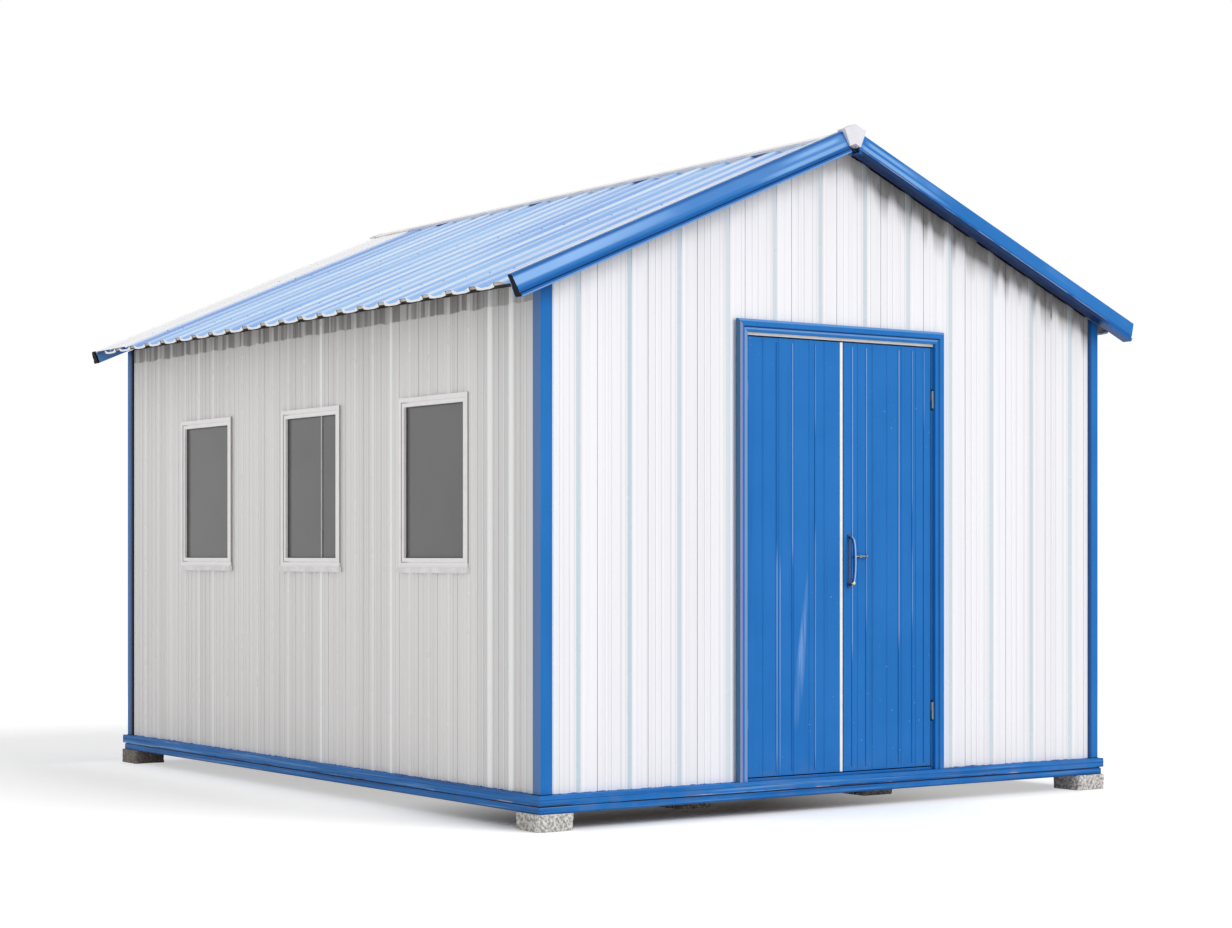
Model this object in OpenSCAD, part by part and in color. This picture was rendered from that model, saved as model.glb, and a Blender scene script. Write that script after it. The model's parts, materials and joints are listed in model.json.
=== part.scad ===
// Metal garden shed: ribbed sandwich-panel walls between folded corner posts, on a
// pressed-steel base ring that stands on concrete pads, under a ribbed sheet gable roof.
// Millimetres. The origin is on the ground at the middle of the plan, the doors face -Y, +Z is up.

/* [Body] */
// Width over the corner posts, across the gable
body_w = 3360; // [3000:10:3800]
// Length over the corner posts, along the ridge
body_l = 4290; // [3900:10:4800]
// Height from the doorway's head up to the line where the undersides of the roof slopes meet
head_to_ridge = 930; // [850:1:1150]
// Slope of the roof in degrees
roof_pitch = 23.3; // [18:0.1:26]

/* [Pads and base] */
// Side of a square concrete pad
pad_side = 190; // [150:5:260]
// Height of a concrete pad
pad_h = 75; // [50:5:140]
// How far a corner pad stands out past the base rail
pad_proud = 8; // [0:1:20]
// Distance of the inner pads from the middle of the width
inner_pad_x = 560; // [300:10:900]
// Height of the base rail
rail_h = 80; // [70:1:120]
// Height of the rail's lower band
rail_low_band = 30; // [22:1:40]
// How far the rail's upper band stands out past the posts
rail_proud = 20; // [14:1:40]
// How far the rail's lower band is set back behind the upper band
rail_band_step = 8; // [4:1:12]
// Width of the rail's flanges, inwards from the posts' outer faces
rail_flange = 100; // [80:5:140]
// Thickness of the rail's steel
rail_t = 4; // [3:0.5:6]
// Thickness of the floor deck
deck_t = 18; // [12:1:25]
// Distance between floor joists
joist_pitch = 555; // [450:5:640]
// Number of floor joists on each side of the middle one
joist_half_count = 3; // [2:1:3]
// Width of a floor joist
joist_w = 50; // [40:1:80]
// Thickness of a joist's steel
joist_t = 3; // [2:0.5:5]

/* [Posts and walls] */
// Side of a corner post
post_side = 60; // [50:1:90]
// Thickness of a corner post's steel
post_t = 3; // [2:0.5:5]
// Thickness of a wall panel without its ribs
wall_t = 50; // [40:1:75]
// How far the panel's flat outer face lies behind the posts' outer faces
wall_setback = 9; // [8:0.5:14]
// Distance between main ribs on the gable walls, at most
gable_rib_pitch = 272; // [220:1:340]
// Width of a gable wall's main rib at its foot
gable_rib_foot = 88; // [60:1:100]
// Width of a gable wall's main rib at its top
gable_rib_top = 28; // [16:1:40]
// Distance between main ribs on the long walls, at most
side_rib_pitch = 174; // [150:1:240]
// Width of a long wall's main rib at its foot
side_rib_foot = 60; // [40:1:70]
// Width of a long wall's main rib at its top
side_rib_top = 22; // [12:1:30]
// Height of a main rib
rib_h = 7; // [3:0.5:7.5]
// Height of a fine rib
fine_rib_h = 2; // [1:0.5:3]
// Width of a fine rib at its foot
fine_rib_foot = 16; // [10:1:24]
// Width of the joint groove between panels
joint_w = 4; // [2:0.5:8]
// Depth of the joint groove between panels
joint_d = 5; // [2:0.5:10]
// Play between a gable panel and the post or frame beside it
panel_play = 1; // [0.5:0.5:3]
// Gap between a long wall's panel and the posts at its ends
post_gap = 8; // [2:0.5:12]

/* [Doors] */
// Clear width between the door jambs
door_w = 1140; // [900:10:1400]
// Clear height from the base rail to the head
door_h = 2031; // [1900:1:2060]
// Width of the face trim round the doorway
trim_w = 58; // [45:1:80]
// How far the face trim stands out in front of the wall's flat face
trim_proud = 25; // [20:1:40]
// Width of the trim's thinner inner lip
trim_lip = 24; // [14:1:32]
// How far the inner lip is set back behind the trim's face
trim_lip_step = 7; // [3:1:12]
// Chamfer of the trim's outer edge
trim_edge = 9; // [3:1:11]
// Thickness of the jamb and head linings
lining_t = 20; // [12:1:30]
// How far the door stops reach into the doorway
stop_reach = 12; // [8:1:20]
// Depth of the door stops
stop_d = 12; // [8:1:16]
// Thickness of a door leaf
leaf_t = 40; // [30:1:45]
// Gap between a leaf and its jamb, where the hinges sit
hinge_gap = 16; // [14:1:24]
// Gap between the two leaves
meeting_gap = 22; // [16:1:30]
// Clear gap between the white meeting strip and the right leaf
strip_gap = 6; // [5:0.5:9]
// Gap under the leaves
leaf_gap_low = 17; // [8:1:25]
// Gap between the leaves and the head seal
leaf_gap_high = 7; // [5:1:12]
// Height of the white seal under the head
seal_h = 12; // [8:1:16]
// Play between a leaf's back and the door stops
stop_play = 5; // [5:0.5:8]
// Distance between the ribs of a leaf, at most
leaf_rib_pitch = 98; // [70:1:140]
// Height of a leaf's ribs
leaf_rib_h = 3; // [1:0.5:4]
// Width of a leaf's ribs
leaf_rib_w = 16; // [6:1:24]

/* [Door furniture] */
// Radius of a hinge barrel
barrel_r = 6; // [5:0.5:6.5]
// Radius of a hinge pin
hinge_pin_r = 3; // [2:0.25:3.5]
// Running clearance of the pin in the upper barrel
pin_play = 0.05; // [0.02:0.01:0.1]
// Length of a whole hinge
hinge_l = 80; // [60:2:120]
// Gap between the two halves of a hinge
hinge_half_gap = 0.4; // [0.2:0.1:1]
// Height of the lower hinges above the base rail
hinge_low = 280; // [200:5:400]
// Distance of the upper hinges below the doorway's head
hinge_below_head = 266; // [180:2:400]
// Thickness of a hinge strap
strap_t = 3; // [2:0.5:4]
// Depth of a hinge strap along the leaf's edge
strap_l = 30; // [20:1:34]
// Length of the pull handle between its feet
handle_l = 222; // [150:2:260]
// How far the handle's bow stands out from the leaf
handle_reach = 48; // [35:1:70]
// Radius of the handle's grip
grip_r = 9; // [6:0.5:11]
// Height of the handle's middle above the base rail
handle_z = 995; // [850:5:1100]
// Distance of the handle from the right leaf's free edge
handle_in = 34; // [30:1:90]
// Length of the latch bolt beside the handle
bolt_l = 80; // [50:1:110]
// Radius of the latch bolt
bolt_r = 4.5; // [3:0.5:6]
// Height of the latch bolt above the handle's middle
bolt_up = 22; // [0:1:60]
// Side of the latch bolt's guide
guide_side = 13; // [10:1:24]

/* [Windows] */
// Width of a window over its frame
window_w = 610; // [450:10:760]
// Height of a window over its frame
window_h = 783; // [600:1:900]
// Height of the windows' lower edge above the base rail
window_low = 967; // [800:1:1050]
// Distance of the first window's middle from the front
window_first = 890; // [700:10:1100]
// Distance between the windows' middles
window_pitch = 1187; // [1000:1:1260]
// Number of windows in the left wall
window_count = 3; // [1:1:3]
// Width of the window frame's face bars
face_bar = 20; // [16:1:30]
// Width of the sash ring inside the face bars
sash_bar = 17; // [12:1:24]
// Width of the groove between the face bars and the sash ring
sash_gap = 5; // [3:0.5:8]
// How far the sash ring lies behind the frame's face
sash_step = 3; // [1:0.5:5]
// How far the window frame stands out in front of the wall's flat face
frame_proud = 14; // [12:1:25]
// How far the glass lies behind the frame's face
glass_setback = 20; // [10:1:40]
// Thickness of the glass
glass_t = 6; // [4:1:12]
// Height of the sill strip under the frame
sill_h = 26; // [15:1:40]
// How far the sill strip stands out in front of the frame
sill_proud = 10; // [4:1:25]
// How far the sill strip reaches past the frame at each end
sill_past = 8; // [0:1:25]

/* [Roof] */
// How far the roof reaches past the posts at the eaves
eave_out = 174; // [120:1:260]
// How far the roof trims reach past the posts at the gables
gable_out = 90; // [80:1:160]
// Side of a square purlin
purlin_side = 50; // [40:1:70]
// Thickness of a purlin's steel
purlin_t = 3; // [2:0.5:5]
// Clearance between the purlins and the sloping tops of walls and posts
purlin_seat = 0.1; // [0.05:0.05:0.5]
// Thickness of the roof sheet
sheet_t = 1; // [0.8:0.1:2]
// Distance between roof ribs, at most
roof_rib_pitch = 205; // [180:1:300]
// Height of a roof rib
roof_rib_h = 14; // [10:1:24]
// Width of a roof rib at its foot
roof_rib_foot = 130; // [80:1:140]
// Width of a roof rib at its top
roof_rib_top = 50; // [30:1:60]
// Depth of the box-shaped verge trims, along the ridge
verge_d = 55; // [45:1:75]
// How far the front verge trims stand above the purlins' tops
verge_up = 39; // [32:1:60]
// How far the front verge trims reach below the purlins' undersides
verge_down = 15; // [4:1:20]
// How far the rear verge trims stand above the roof ribs
rear_verge_up = 4; // [3:1:60]
// How far the rear verge trims reach below the purlins' tops
rear_verge_down = 50; // [40:1:60]
// Thickness of the verge trims' steel
verge_t = 2; // [1:0.5:3]
// Radius of the verge trims' upper outer edge
verge_r = 10; // [4:1:12]
// Thickness of the black caps on the rear verge trims' lower ends
end_cap_t = 10; // [3:1:15]
// Depth of the black plugs in the front verge trims' lower ends
plug_d = 12; // [6:1:30]
// How far these plugs lie inside the trims' ends
plug_in = 3; // [0:0.5:8]
// How far the verge trims stop short of the ridge, along the slope
verge_short = 50; // [40:1:120]
// Width of each wing of the ridge cap
cap_wing = 45; // [40:1:200]
// How far the ridge cap's wings lie above the roof ribs
cap_lift = 10; // [4:1:16]
// Thickness of the ridge cap
cap_t = 2; // [1:0.5:3]
// How far the ridge's end caps stand above the verge trims
cap_up = 9; // [6:1:20]
// How far the front ridge end's lower edge lies above that of the verge trims
cap_raise = 30; // [0:1:40]

/* [Hidden] */
$fn = 48;

panel_white = "whitesmoke";
steel_blue = "#1f6fc4";
concrete_grey = "#b5b0a8";
big = 20000;

// Base levels
rail_z = pad_h + rail_h;              // top of the base rail, where walls and posts stand
door_head_z = rail_z + door_h;
ridge_z = door_head_z + head_to_ridge;
rail_out_x = body_w / 2 + rail_proud;
rail_out_y = body_l / 2 + rail_proud;
joist_top = rail_z - deck_t;
inner_x = body_w / 2 - rail_flange;   // inner edges of the rails' flanges
inner_y = body_l / 2 - rail_flange;
first_joist_y = joist_half_count * joist_pitch;
deck_play = 0.5;

// Wall planes, measured from the middle of the plan to the flat outer face
wall_x = body_w / 2 - wall_setback;
wall_y = body_l / 2 - wall_setback;

// Roof: distances n are square to a slope, measured up from the sheets' underside
slope_cos = cos(roof_pitch);
slope_sin = sin(roof_pitch);
eave_x = body_w / 2 + eave_out;
slope_l = eave_x / slope_cos;         // from the ridge line down to the eave
crest_n = roof_rib_h + sheet_t;
verge_low_n = -purlin_side - verge_down;
rear_top_n = crest_n + rear_verge_up; // upper edges of the rear verge trims
verge_y = body_l / 2 + gable_out;     // outer face of the verge trims
purlin_y = verge_y - verge_d;         // purlins and sheets end at the backs of the verge trims
sheet_play = 0.5;
sheet_w = 2 * (purlin_y - sheet_play);
roof_bays = ceil(sheet_w / roof_rib_pitch);
roof_bay = sheet_w / roof_bays;
ridge_purlin_in = 10;                 // from the middle of the ridge to the upper purlins' nearest edges
sheet_ridge_in = 8;                   // how far the sheets' upper ends stay back under the ridge cap

// Door planes and places
trim_y = -wall_y - trim_proud;        // face of the trim
leaf_y = -wall_y;                     // front of the leaves' flat face
leaf_low_z = rail_z + leaf_gap_low;
leaf_high_z = door_head_z - seal_h - leaf_gap_high;
leaf_w = (door_w - 2 * hinge_gap - meeting_gap) / 2;
hinge_x = door_w / 2 - hinge_gap / 2;
hinge_y = leaf_y - barrel_r;
stop_y = leaf_y + leaf_t + stop_play;
lining_back_y = stop_y + stop_d;
wall_cut_w = door_w + 2 * lining_t;

// Window places along the left wall, and their planes
window_ys = [for (i = [0:window_count - 1]) -body_l / 2 + window_first + i * window_pitch];
window_low_z = rail_z + window_low;
window_cut_in = 12;                   // how far the frame's face laps the wall round the hole
frame_bar = face_bar + sash_gap + sash_bar;
rib_play = 0.5;                       // between the ribs' tops and the trims that lie over them

// Profiles

// Places in one bay of a ribbed panel, as shares of the bay: on the gable walls they are measured from the
// main rib in the bay's middle, on the long walls from the bay's start, where the main ribs sit between bays
joint_at = 0.39;
gable_fine_at = [-0.44, -0.315];
side_fine_at = 0.64;

// Outer outline of a gable wall of width w, rib tops towards -Y: two fine ribs, a main rib and a joint in each bay
function gable_rib_points(w) =
    let (bays = ceil(w / gable_rib_pitch), p = w / bays)
    [for (i = [0:bays - 1])
        let (m = -w / 2 + (i + 0.5) * p)
        each concat(
            fine_rib_points(m + gable_fine_at[0] * p), fine_rib_points(m + gable_fine_at[1] * p),
            main_rib_points(m, gable_rib_foot, gable_rib_top), joint_points(m + joint_at * p))];

// The same for a long wall: a joint and a fine rib in each bay, and a main rib between two bays
function side_rib_points(w) =
    let (bays = ceil(w / side_rib_pitch), p = w / bays)
    [for (i = [0:bays - 1])
        let (x = -w / 2 + i * p)
        each concat(
            joint_points(x + joint_at * p), fine_rib_points(x + side_fine_at * p),
            i < bays - 1 ? main_rib_points(x + p, side_rib_foot, side_rib_top) : [])];

function main_rib_points(m, foot, top) =
    [[m - foot / 2, 0], [m - top / 2, -rib_h], [m + top / 2, -rib_h], [m + foot / 2, 0]];

function fine_rib_points(m) =
    [[m - fine_rib_foot / 2, 0], [m - fine_rib_foot / 4, -fine_rib_h],
     [m + fine_rib_foot / 4, -fine_rib_h], [m + fine_rib_foot / 2, 0]];

function joint_points(m) =
    [[m - joint_w / 2, 0], [m - joint_w / 4, joint_d], [m + joint_w / 4, joint_d], [m + joint_w / 2, 0]];

// Outline of a leaf of width w: slim raised ribs at equal distances, flat back at y = leaf_t
function leaf_points(w) =
    let (bays = ceil(w / leaf_rib_pitch), p = w / bays)
    concat(
        [[-w / 2, 0]],
        [for (i = [1:bays - 1])
            let (m = -w / 2 + i * p)
            each [[m - leaf_rib_w / 2, 0], [m - leaf_rib_w / 4, -leaf_rib_h],
                  [m + leaf_rib_w / 4, -leaf_rib_h], [m + leaf_rib_w / 2, 0]]],
        [[w / 2, 0], [w / 2, leaf_t], [-w / 2, leaf_t]]);

// Line of the roof sheet's underside along the ridge direction, lifted by up at every point
function roof_line(up) =
    concat(
        [[-sheet_w / 2, up]],
        [for (i = [0:roof_bays - 1])
            let (m = -sheet_w / 2 + (i + 0.5) * roof_bay)
            each [[m - roof_rib_foot / 2, up], [m - roof_rib_top / 2, roof_rib_h + up],
                  [m + roof_rib_top / 2, roof_rib_h + up], [m + roof_rib_foot / 2, up]]],
        [[sheet_w / 2, up]]);

// Outline of a verge trim from low_n to up_n, inset by t: u runs outwards along the ridge direction,
// n square to the slope. The face has a round upper edge, leans out, drops upright and ends in a drip lip.
verge_lean = 11;                      // the upper face leans out by this much on its way down
verge_knee_h = 38;                    // height over the lower edge where the leaning face meets the upright one
verge_lip = 9;                        // the drip lip stands out by this much
verge_lip_h = 16;
verge_arc_steps = 4;
verge_arc = 64;                       // the round edge turns by this angle
function verge_outline(low_n, up_n, t) =
    let (top = up_n - t, low = low_n + t, face = verge_d - verge_lip - t, r = max(verge_r - t, verge_t / 4))
    concat(
        [[t, low], [t, top]],
        [for (k = [0:verge_arc_steps]) let (q = 90 - k * verge_arc / verge_arc_steps)
            [face - verge_lean - r + r * cos(q), top - r + r * sin(q)]],
        [[face, low_n + verge_knee_h], [face, low + verge_lip_h],
         [verge_d - t, low + verge_lip_h], [verge_d - t, low]]);

// Placing

// Places a child drawn in (across, n) and extruded along the slope on the slope towards +X:
// the child's x runs along +Y, its y along n, and its z from the ridge line down the slope
module on_right_slope() {
    translate([0, 0, ridge_z]) rotate([0, roof_pitch, 0])
        multmatrix([[0, 0, 1, 0], [1, 0, 0, 0], [0, 1, 0, 0], [0, 0, 0, 1]]) children();
}

// The same on the slope towards -X
module on_left_slope() {
    mirror([1, 0, 0]) on_right_slope() children();
}

// Everything below the purlins, which cuts the tops of walls and posts to the slopes
module under_roof() {
    top = ridge_z - (purlin_side + purlin_seat) / slope_cos;
    half = body_w;
    fall = half * tan(roof_pitch);
    translate([0, body_l, 0]) rotate([90, 0, 0]) linear_extrude(2 * body_l)
        polygon([[-half, 0], [half, 0], [half, top - fall], [0, top], [-half, top - fall]]);
}

// Ribbed panel from x0 to x1 on the wall facing -Y, from the base rail up to the slopes.
// The ribs keep the bays of the whole wall between the posts.
module gable_panel(x0, x1, from_z) {
    span = body_w - 2 * post_side;
    intersection() {
        under_roof();
        translate([0, -wall_y, from_z]) linear_extrude(ridge_z - from_z) intersection() {
            polygon(concat([[-span / 2, 0]], gable_rib_points(span),
                [[span / 2, 0], [span / 2, wall_t], [-span / 2, wall_t]]));
            translate([x0, -2 * rib_h]) square([x1 - x0, wall_t + 3 * rib_h]);
        }
    }
}

// Ribbed panel between the posts of the wall facing -X
module side_panel() {
    span = body_l - 2 * post_side - 2 * post_gap;
    intersection() {
        under_roof();
        translate([-wall_x, 0, rail_z]) rotate([0, 0, -90]) linear_extrude(ridge_z)
            polygon(concat([[-span / 2, 0]], side_rib_points(span),
                [[span / 2, 0], [span / 2, wall_t], [-span / 2, wall_t]]));
    }
}

// Copies a child to both sides of the plan's middle in x
module both_sides() {
    children();
    mirror([1, 0, 0]) children();
}

// Pads and base

module pad() {
    chamfer = 8;
    linear_extrude(pad_h) polygon([
        [chamfer, 0], [pad_side - chamfer, 0], [pad_side, chamfer], [pad_side, pad_side - chamfer],
        [pad_side - chamfer, pad_side], [chamfer, pad_side], [0, pad_side - chamfer], [0, chamfer]]);
}

module corner_pads() {
    x = rail_out_x + pad_proud;
    y = rail_out_y + pad_proud;
    color(concrete_grey) for (px = [-x, x - pad_side], py = [-y, y - pad_side]) translate([px, py, 0]) pad();
}

module inner_pads() {
    color(concrete_grey) for (sx = [-1, 1], sy = [-1, 1])
        translate([sx * inner_pad_x - pad_side / 2, sy * first_joist_y - pad_side / 2, 0]) pad();
}

// Section of the base rail: x runs outwards from the posts' outer faces, y up from the pads
module rail_section() {
    bevel = 1;
    groove_h = 4;
    low = rail_proud - rail_band_step;
    groove = low - 5;
    groove_low = rail_low_band + bevel;
    groove_high = groove_low + groove_h;
    band_low = groove_high + bevel;
    polygon([
        [-rail_flange, 0], [low, 0], [low, rail_low_band], [groove, groove_low],
        [groove, groove_high], [rail_proud, band_low], [rail_proud, rail_h],
        [-rail_flange, rail_h], [-rail_flange, rail_h - rail_t], [rail_proud - rail_t, rail_h - rail_t],
        [rail_proud - rail_t, band_low + rail_t], [groove - rail_t, groove_high + rail_t],
        [groove - rail_t, groove_low - rail_t], [low - rail_t, rail_low_band - rail_t],
        [low - rail_t, rail_t], [-rail_flange, rail_t]]);
}

// Rail along X on the side facing -Y, mitred at both ends; half is the plan's half width to the post faces
module base_rail(half_along, half_across) {
    reach = half_along + rail_proud;
    difference() {
        translate([-reach, -half_across, pad_h]) rotate([90, 0, 90]) linear_extrude(2 * reach)
            mirror([1, 0]) rail_section();
        for (s = [-1, 1]) mirror([s > 0 ? 0 : 1, 0, 0])
            translate([half_along, -half_across, 0]) rotate([0, 0, 45]) translate([0, -big / 20, -1])
                cube([big / 20, big / 10, big / 20]);
    }
}

module front_base_rail() color(steel_blue) base_rail(body_w / 2, body_l / 2);
module rear_base_rail() color(steel_blue) rotate([0, 0, 180]) base_rail(body_w / 2, body_l / 2);
module left_base_rail() color(steel_blue) rotate([0, 0, -90]) base_rail(body_l / 2, body_w / 2);
module right_base_rail() color(steel_blue) rotate([0, 0, 90]) base_rail(body_l / 2, body_w / 2);

// Channel joists between the side rails, open at the back, flush with the pads' tops
module floor_joists() {
    h = joist_top - pad_h;
    color(steel_blue) for (i = [-joist_half_count:joist_half_count])
        translate([-inner_x, i * joist_pitch - joist_w / 2, pad_h]) rotate([90, 0, 90]) linear_extrude(2 * inner_x)
            polygon([[0, 0], [joist_w, 0], [joist_w, joist_t], [joist_t, joist_t], [joist_t, h - joist_t],
                [joist_w, h - joist_t], [joist_w, h], [0, h]]);
}

module floor_deck() {
    color("burlywood") translate([-inner_x + deck_play, -inner_y + deck_play, joist_top])
        cube([2 * (inner_x - deck_play), 2 * (inner_y - deck_play), deck_t]);
}

// Posts and walls

// Folded corner post at the corner towards -X and -Y: an angle with returned edges behind the panels
module corner_post() {
    color(steel_blue) intersection() {
        under_roof();
        translate([-body_w / 2, -body_l / 2, rail_z]) linear_extrude(ridge_z) difference() {
            square(post_side);
            translate([post_t, post_t]) square(post_side - 2 * post_t);
        }
    }
}

module front_left_post() corner_post();
module front_right_post() mirror([1, 0, 0]) corner_post();
module rear_left_post() mirror([0, 1, 0]) corner_post();
module rear_right_post() mirror([1, 0, 0]) mirror([0, 1, 0]) corner_post();

wall_end_x = body_w / 2 - post_side - panel_play;
door_side_x = wall_cut_w / 2 + panel_play;
gable_low_z = door_head_z + lining_t + panel_play;

module front_wall_left() color(panel_white) gable_panel(-wall_end_x, -door_side_x, rail_z);
module front_wall_right() color(panel_white) gable_panel(door_side_x, wall_end_x, rail_z);
module front_gable_panel()
    color(panel_white) gable_panel(-door_side_x + panel_play, door_side_x - panel_play, gable_low_z);
module rear_wall() color(panel_white) rotate([0, 0, 180]) gable_panel(-wall_end_x, wall_end_x, rail_z);

module left_wall() {
    w = window_w - 2 * window_cut_in;
    h = window_h - 2 * window_cut_in;
    color(panel_white) difference() {
        side_panel();
        for (y = window_ys) translate([-body_w / 2 - 1, y - w / 2, window_low_z + window_cut_in])
            cube([wall_t + wall_setback + 2, w, h]);
    }
}

module right_wall() color(panel_white) mirror([1, 0, 0]) side_panel();

// Windows

// Rectangular ring of outer size w by h with bars of width b, extruded by d along +X from the face at x = 0
module window_ring(w, h, b, d) {
    rotate([90, 0, 90]) linear_extrude(d) difference() {
        translate([-w / 2, 0]) square([w, h]);
        translate([-w / 2 + b, b]) square([w - 2 * b, h - 2 * b]);
    }
}

// One frame: a face ring in front of the wall, a lining through it, a sash ring and a sill strip.
// The groove between face and sash ends on the lining's front edge, which laps the face ring from behind.
module window_frame(i) {
    lap = window_cut_in + panel_play;
    depth = frame_proud + wall_t;
    ring_back = frame_proud - rib_h - rib_play;
    lining_front = ring_back / 2;
    sash_in = face_bar + sash_gap;
    color("white") translate([-wall_x - frame_proud, window_ys[i], window_low_z]) {
        window_ring(window_w, window_h, face_bar, ring_back);
        translate([lining_front, 0, lap])
            window_ring(window_w - 2 * lap, window_h - 2 * lap, frame_bar - lap, depth - lining_front);
        translate([sash_step, 0, sash_in])
            window_ring(window_w - 2 * sash_in, window_h - 2 * sash_in, sash_bar, depth - sash_step);
        translate([-sill_proud, -window_w / 2 - sill_past, -sill_h])
            cube([sill_proud + ring_back, window_w + 2 * sill_past, sill_h]);
    }
}

module window_frame_1() window_frame(0);
module window_frame_2() window_frame(1);
module window_frame_3() window_frame(2);

module window_glass() {
    play = 0.3;
    w = window_w - 2 * frame_bar - 2 * play;
    h = window_h - 2 * frame_bar - 2 * play;
    color("dimgray") for (y = window_ys)
        translate([-wall_x - frame_proud + glass_setback, y - w / 2, window_low_z + frame_bar + play])
            cube([glass_t, w, h]);
}

// Doors

// Section of the door frame: x runs outwards from the doorway, y from the trim's face to the back
module door_frame_section() {
    face = trim_proud;
    back = lining_back_y - trim_y;
    stop = stop_y - trim_y;
    rib_clear = rib_h + rib_play;
    lip_bevel = trim_lip_step / 2;
    polygon([
        [0, trim_lip_step], [trim_lip - lip_bevel, trim_lip_step], [trim_lip, 0],
        [trim_w - trim_edge, 0], [trim_w, trim_edge],
        [trim_w, face - rib_clear], [lining_t, face - rib_clear], [lining_t, back],
        [-stop_reach, back], [-stop_reach, stop], [0, stop]]);
}

// Jamb on the side towards +X, mitred under the head
module door_jamb() {
    reach = trim_w + stop_reach;
    color(steel_blue) difference() {
        translate([door_w / 2, trim_y, rail_z]) linear_extrude(door_h + trim_w) door_frame_section();
        translate([door_w / 2 - reach, trim_y - 1, door_head_z - reach]) rotate([0, -45, 0])
            cube([big / 10, lining_back_y - trim_y + 2, big / 10]);
    }
}

module right_door_jamb() door_jamb();
module left_door_jamb() mirror([1, 0, 0]) door_jamb();

// Head between the two mitres
module door_head() {
    half = door_w / 2 + trim_w;
    reach = trim_w + stop_reach;
    color(steel_blue) difference() {
        translate([-half, trim_y, door_head_z]) rotate([90, 0, 90]) linear_extrude(2 * half)
            rotate([0, 0, 90]) mirror([0, 1]) door_frame_section();
        both_sides() translate([door_w / 2 - reach, trim_y - 1, door_head_z - reach]) rotate([0, 45, 0])
            cube([big / 10, lining_back_y - trim_y + 2, big / 10]);
    }
}

// White seal strip under the head, in front of the stop
module door_head_seal() {
    color("white") translate([-door_w / 2 + panel_play, leaf_y - 2, door_head_z - seal_h])
        cube([door_w - 2 * panel_play, stop_y - leaf_y + 2 - panel_play, seal_h]);
}

// Leaf whose hinged edge is towards +X
module door_leaf() {
    color(steel_blue) translate([door_w / 2 - hinge_gap - leaf_w / 2, leaf_y, leaf_low_z])
        linear_extrude(leaf_high_z - leaf_low_z) polygon(leaf_points(leaf_w));
}

module right_door_leaf() door_leaf();
module left_door_leaf() mirror([1, 0, 0]) door_leaf();

// White strip on the left leaf's free edge, filling most of the meeting gap
module door_meeting_strip() {
    color("white") translate([-meeting_gap / 2, leaf_y, leaf_low_z])
        cube([meeting_gap - strip_gap, leaf_t, leaf_high_z - leaf_low_z]);
}

// Door furniture

half_barrel = (hinge_l - hinge_half_gap) / 2;

// Lower half of one hinge, with its pin, fixed to the jamb
module frame_hinge(z) {
    plate = hinge_gap / 2;
    translate([hinge_x, hinge_y, z]) {
        cylinder(r = barrel_r, h = half_barrel);
        cylinder(r = hinge_pin_r, h = hinge_l);
        translate([0, -strap_t / 2, 0]) cube([plate, strap_t, half_barrel]);
    }
}

// Upper half of one hinge, with its bore and the strap on the leaf's edge
module leaf_hinge(z) {
    translate([hinge_x, hinge_y, z + half_barrel + hinge_half_gap]) difference() {
        union() {
            cylinder(r = barrel_r, h = half_barrel);
            translate([-hinge_gap / 2, 0, 0]) cube([strap_t, strap_l, half_barrel]);
        }
        translate([0, 0, -1]) cylinder(r = hinge_pin_r + pin_play, h = half_barrel + 2);
    }
}

hinge_zs = [rail_z + hinge_low - hinge_l / 2, door_head_z - hinge_below_head - hinge_l / 2];

module frame_hinges() color("silver") both_sides() for (z = hinge_zs) frame_hinge(z);
module right_leaf_hinges() color("silver") for (z = hinge_zs) leaf_hinge(z);
module left_leaf_hinges() color("silver") mirror([1, 0, 0]) for (z = hinge_zs) leaf_hinge(z);

handle_x = meeting_gap / 2 + handle_in;

// Bow handle: an arc of round bar between two feet on the leaf's face
module pull_handle() {
    sag = handle_reach - grip_r;
    r = (pow(handle_l / 2, 2) + sag * sag) / (2 * sag);
    past = 4;
    half_angle = asin(handle_l / 2 / r) + past;
    foot_r = grip_r + 4;
    foot_h = 4;
    color(steel_blue) translate([handle_x, leaf_y, rail_z + handle_z]) {
        intersection() {
            translate([0, r - sag, 0]) rotate([0, 90, 0]) rotate([0, 0, 270 - half_angle])
                rotate_extrude(angle = 2 * half_angle) translate([r, 0]) circle(grip_r);
            translate([-foot_r, -2 * handle_reach, -handle_l]) cube([2 * foot_r, 2 * handle_reach, 2 * handle_l]);
        }
        for (s = [-1, 1]) translate([0, 0, s * handle_l / 2]) rotate([90, 0, 0]) cylinder(r = foot_r, h = foot_h);
    }
}

// Latch bolt lying across the leaf beside the handle, in one guide whose back is shaped to the leaf's ribs
module latch_bolt() {
    guide_wall = 2;
    rib_clear = 3;
    grip_clear = 8;
    z = rail_z + handle_z + bolt_up;
    x = handle_x + grip_r + grip_clear;
    y = leaf_y - leaf_rib_h - bolt_r - rib_clear;
    color("silver") {
        translate([x, y, z]) rotate([0, 90, 0]) cylinder(r = bolt_r, h = bolt_l);
        difference() {
            translate([x + (bolt_l - guide_side) / 2, y - bolt_r - guide_wall, z - guide_side / 2])
                cube([guide_side, leaf_y - y + bolt_r + guide_wall, guide_side]);
            door_leaf();
        }
    }
}

// Roof

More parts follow.
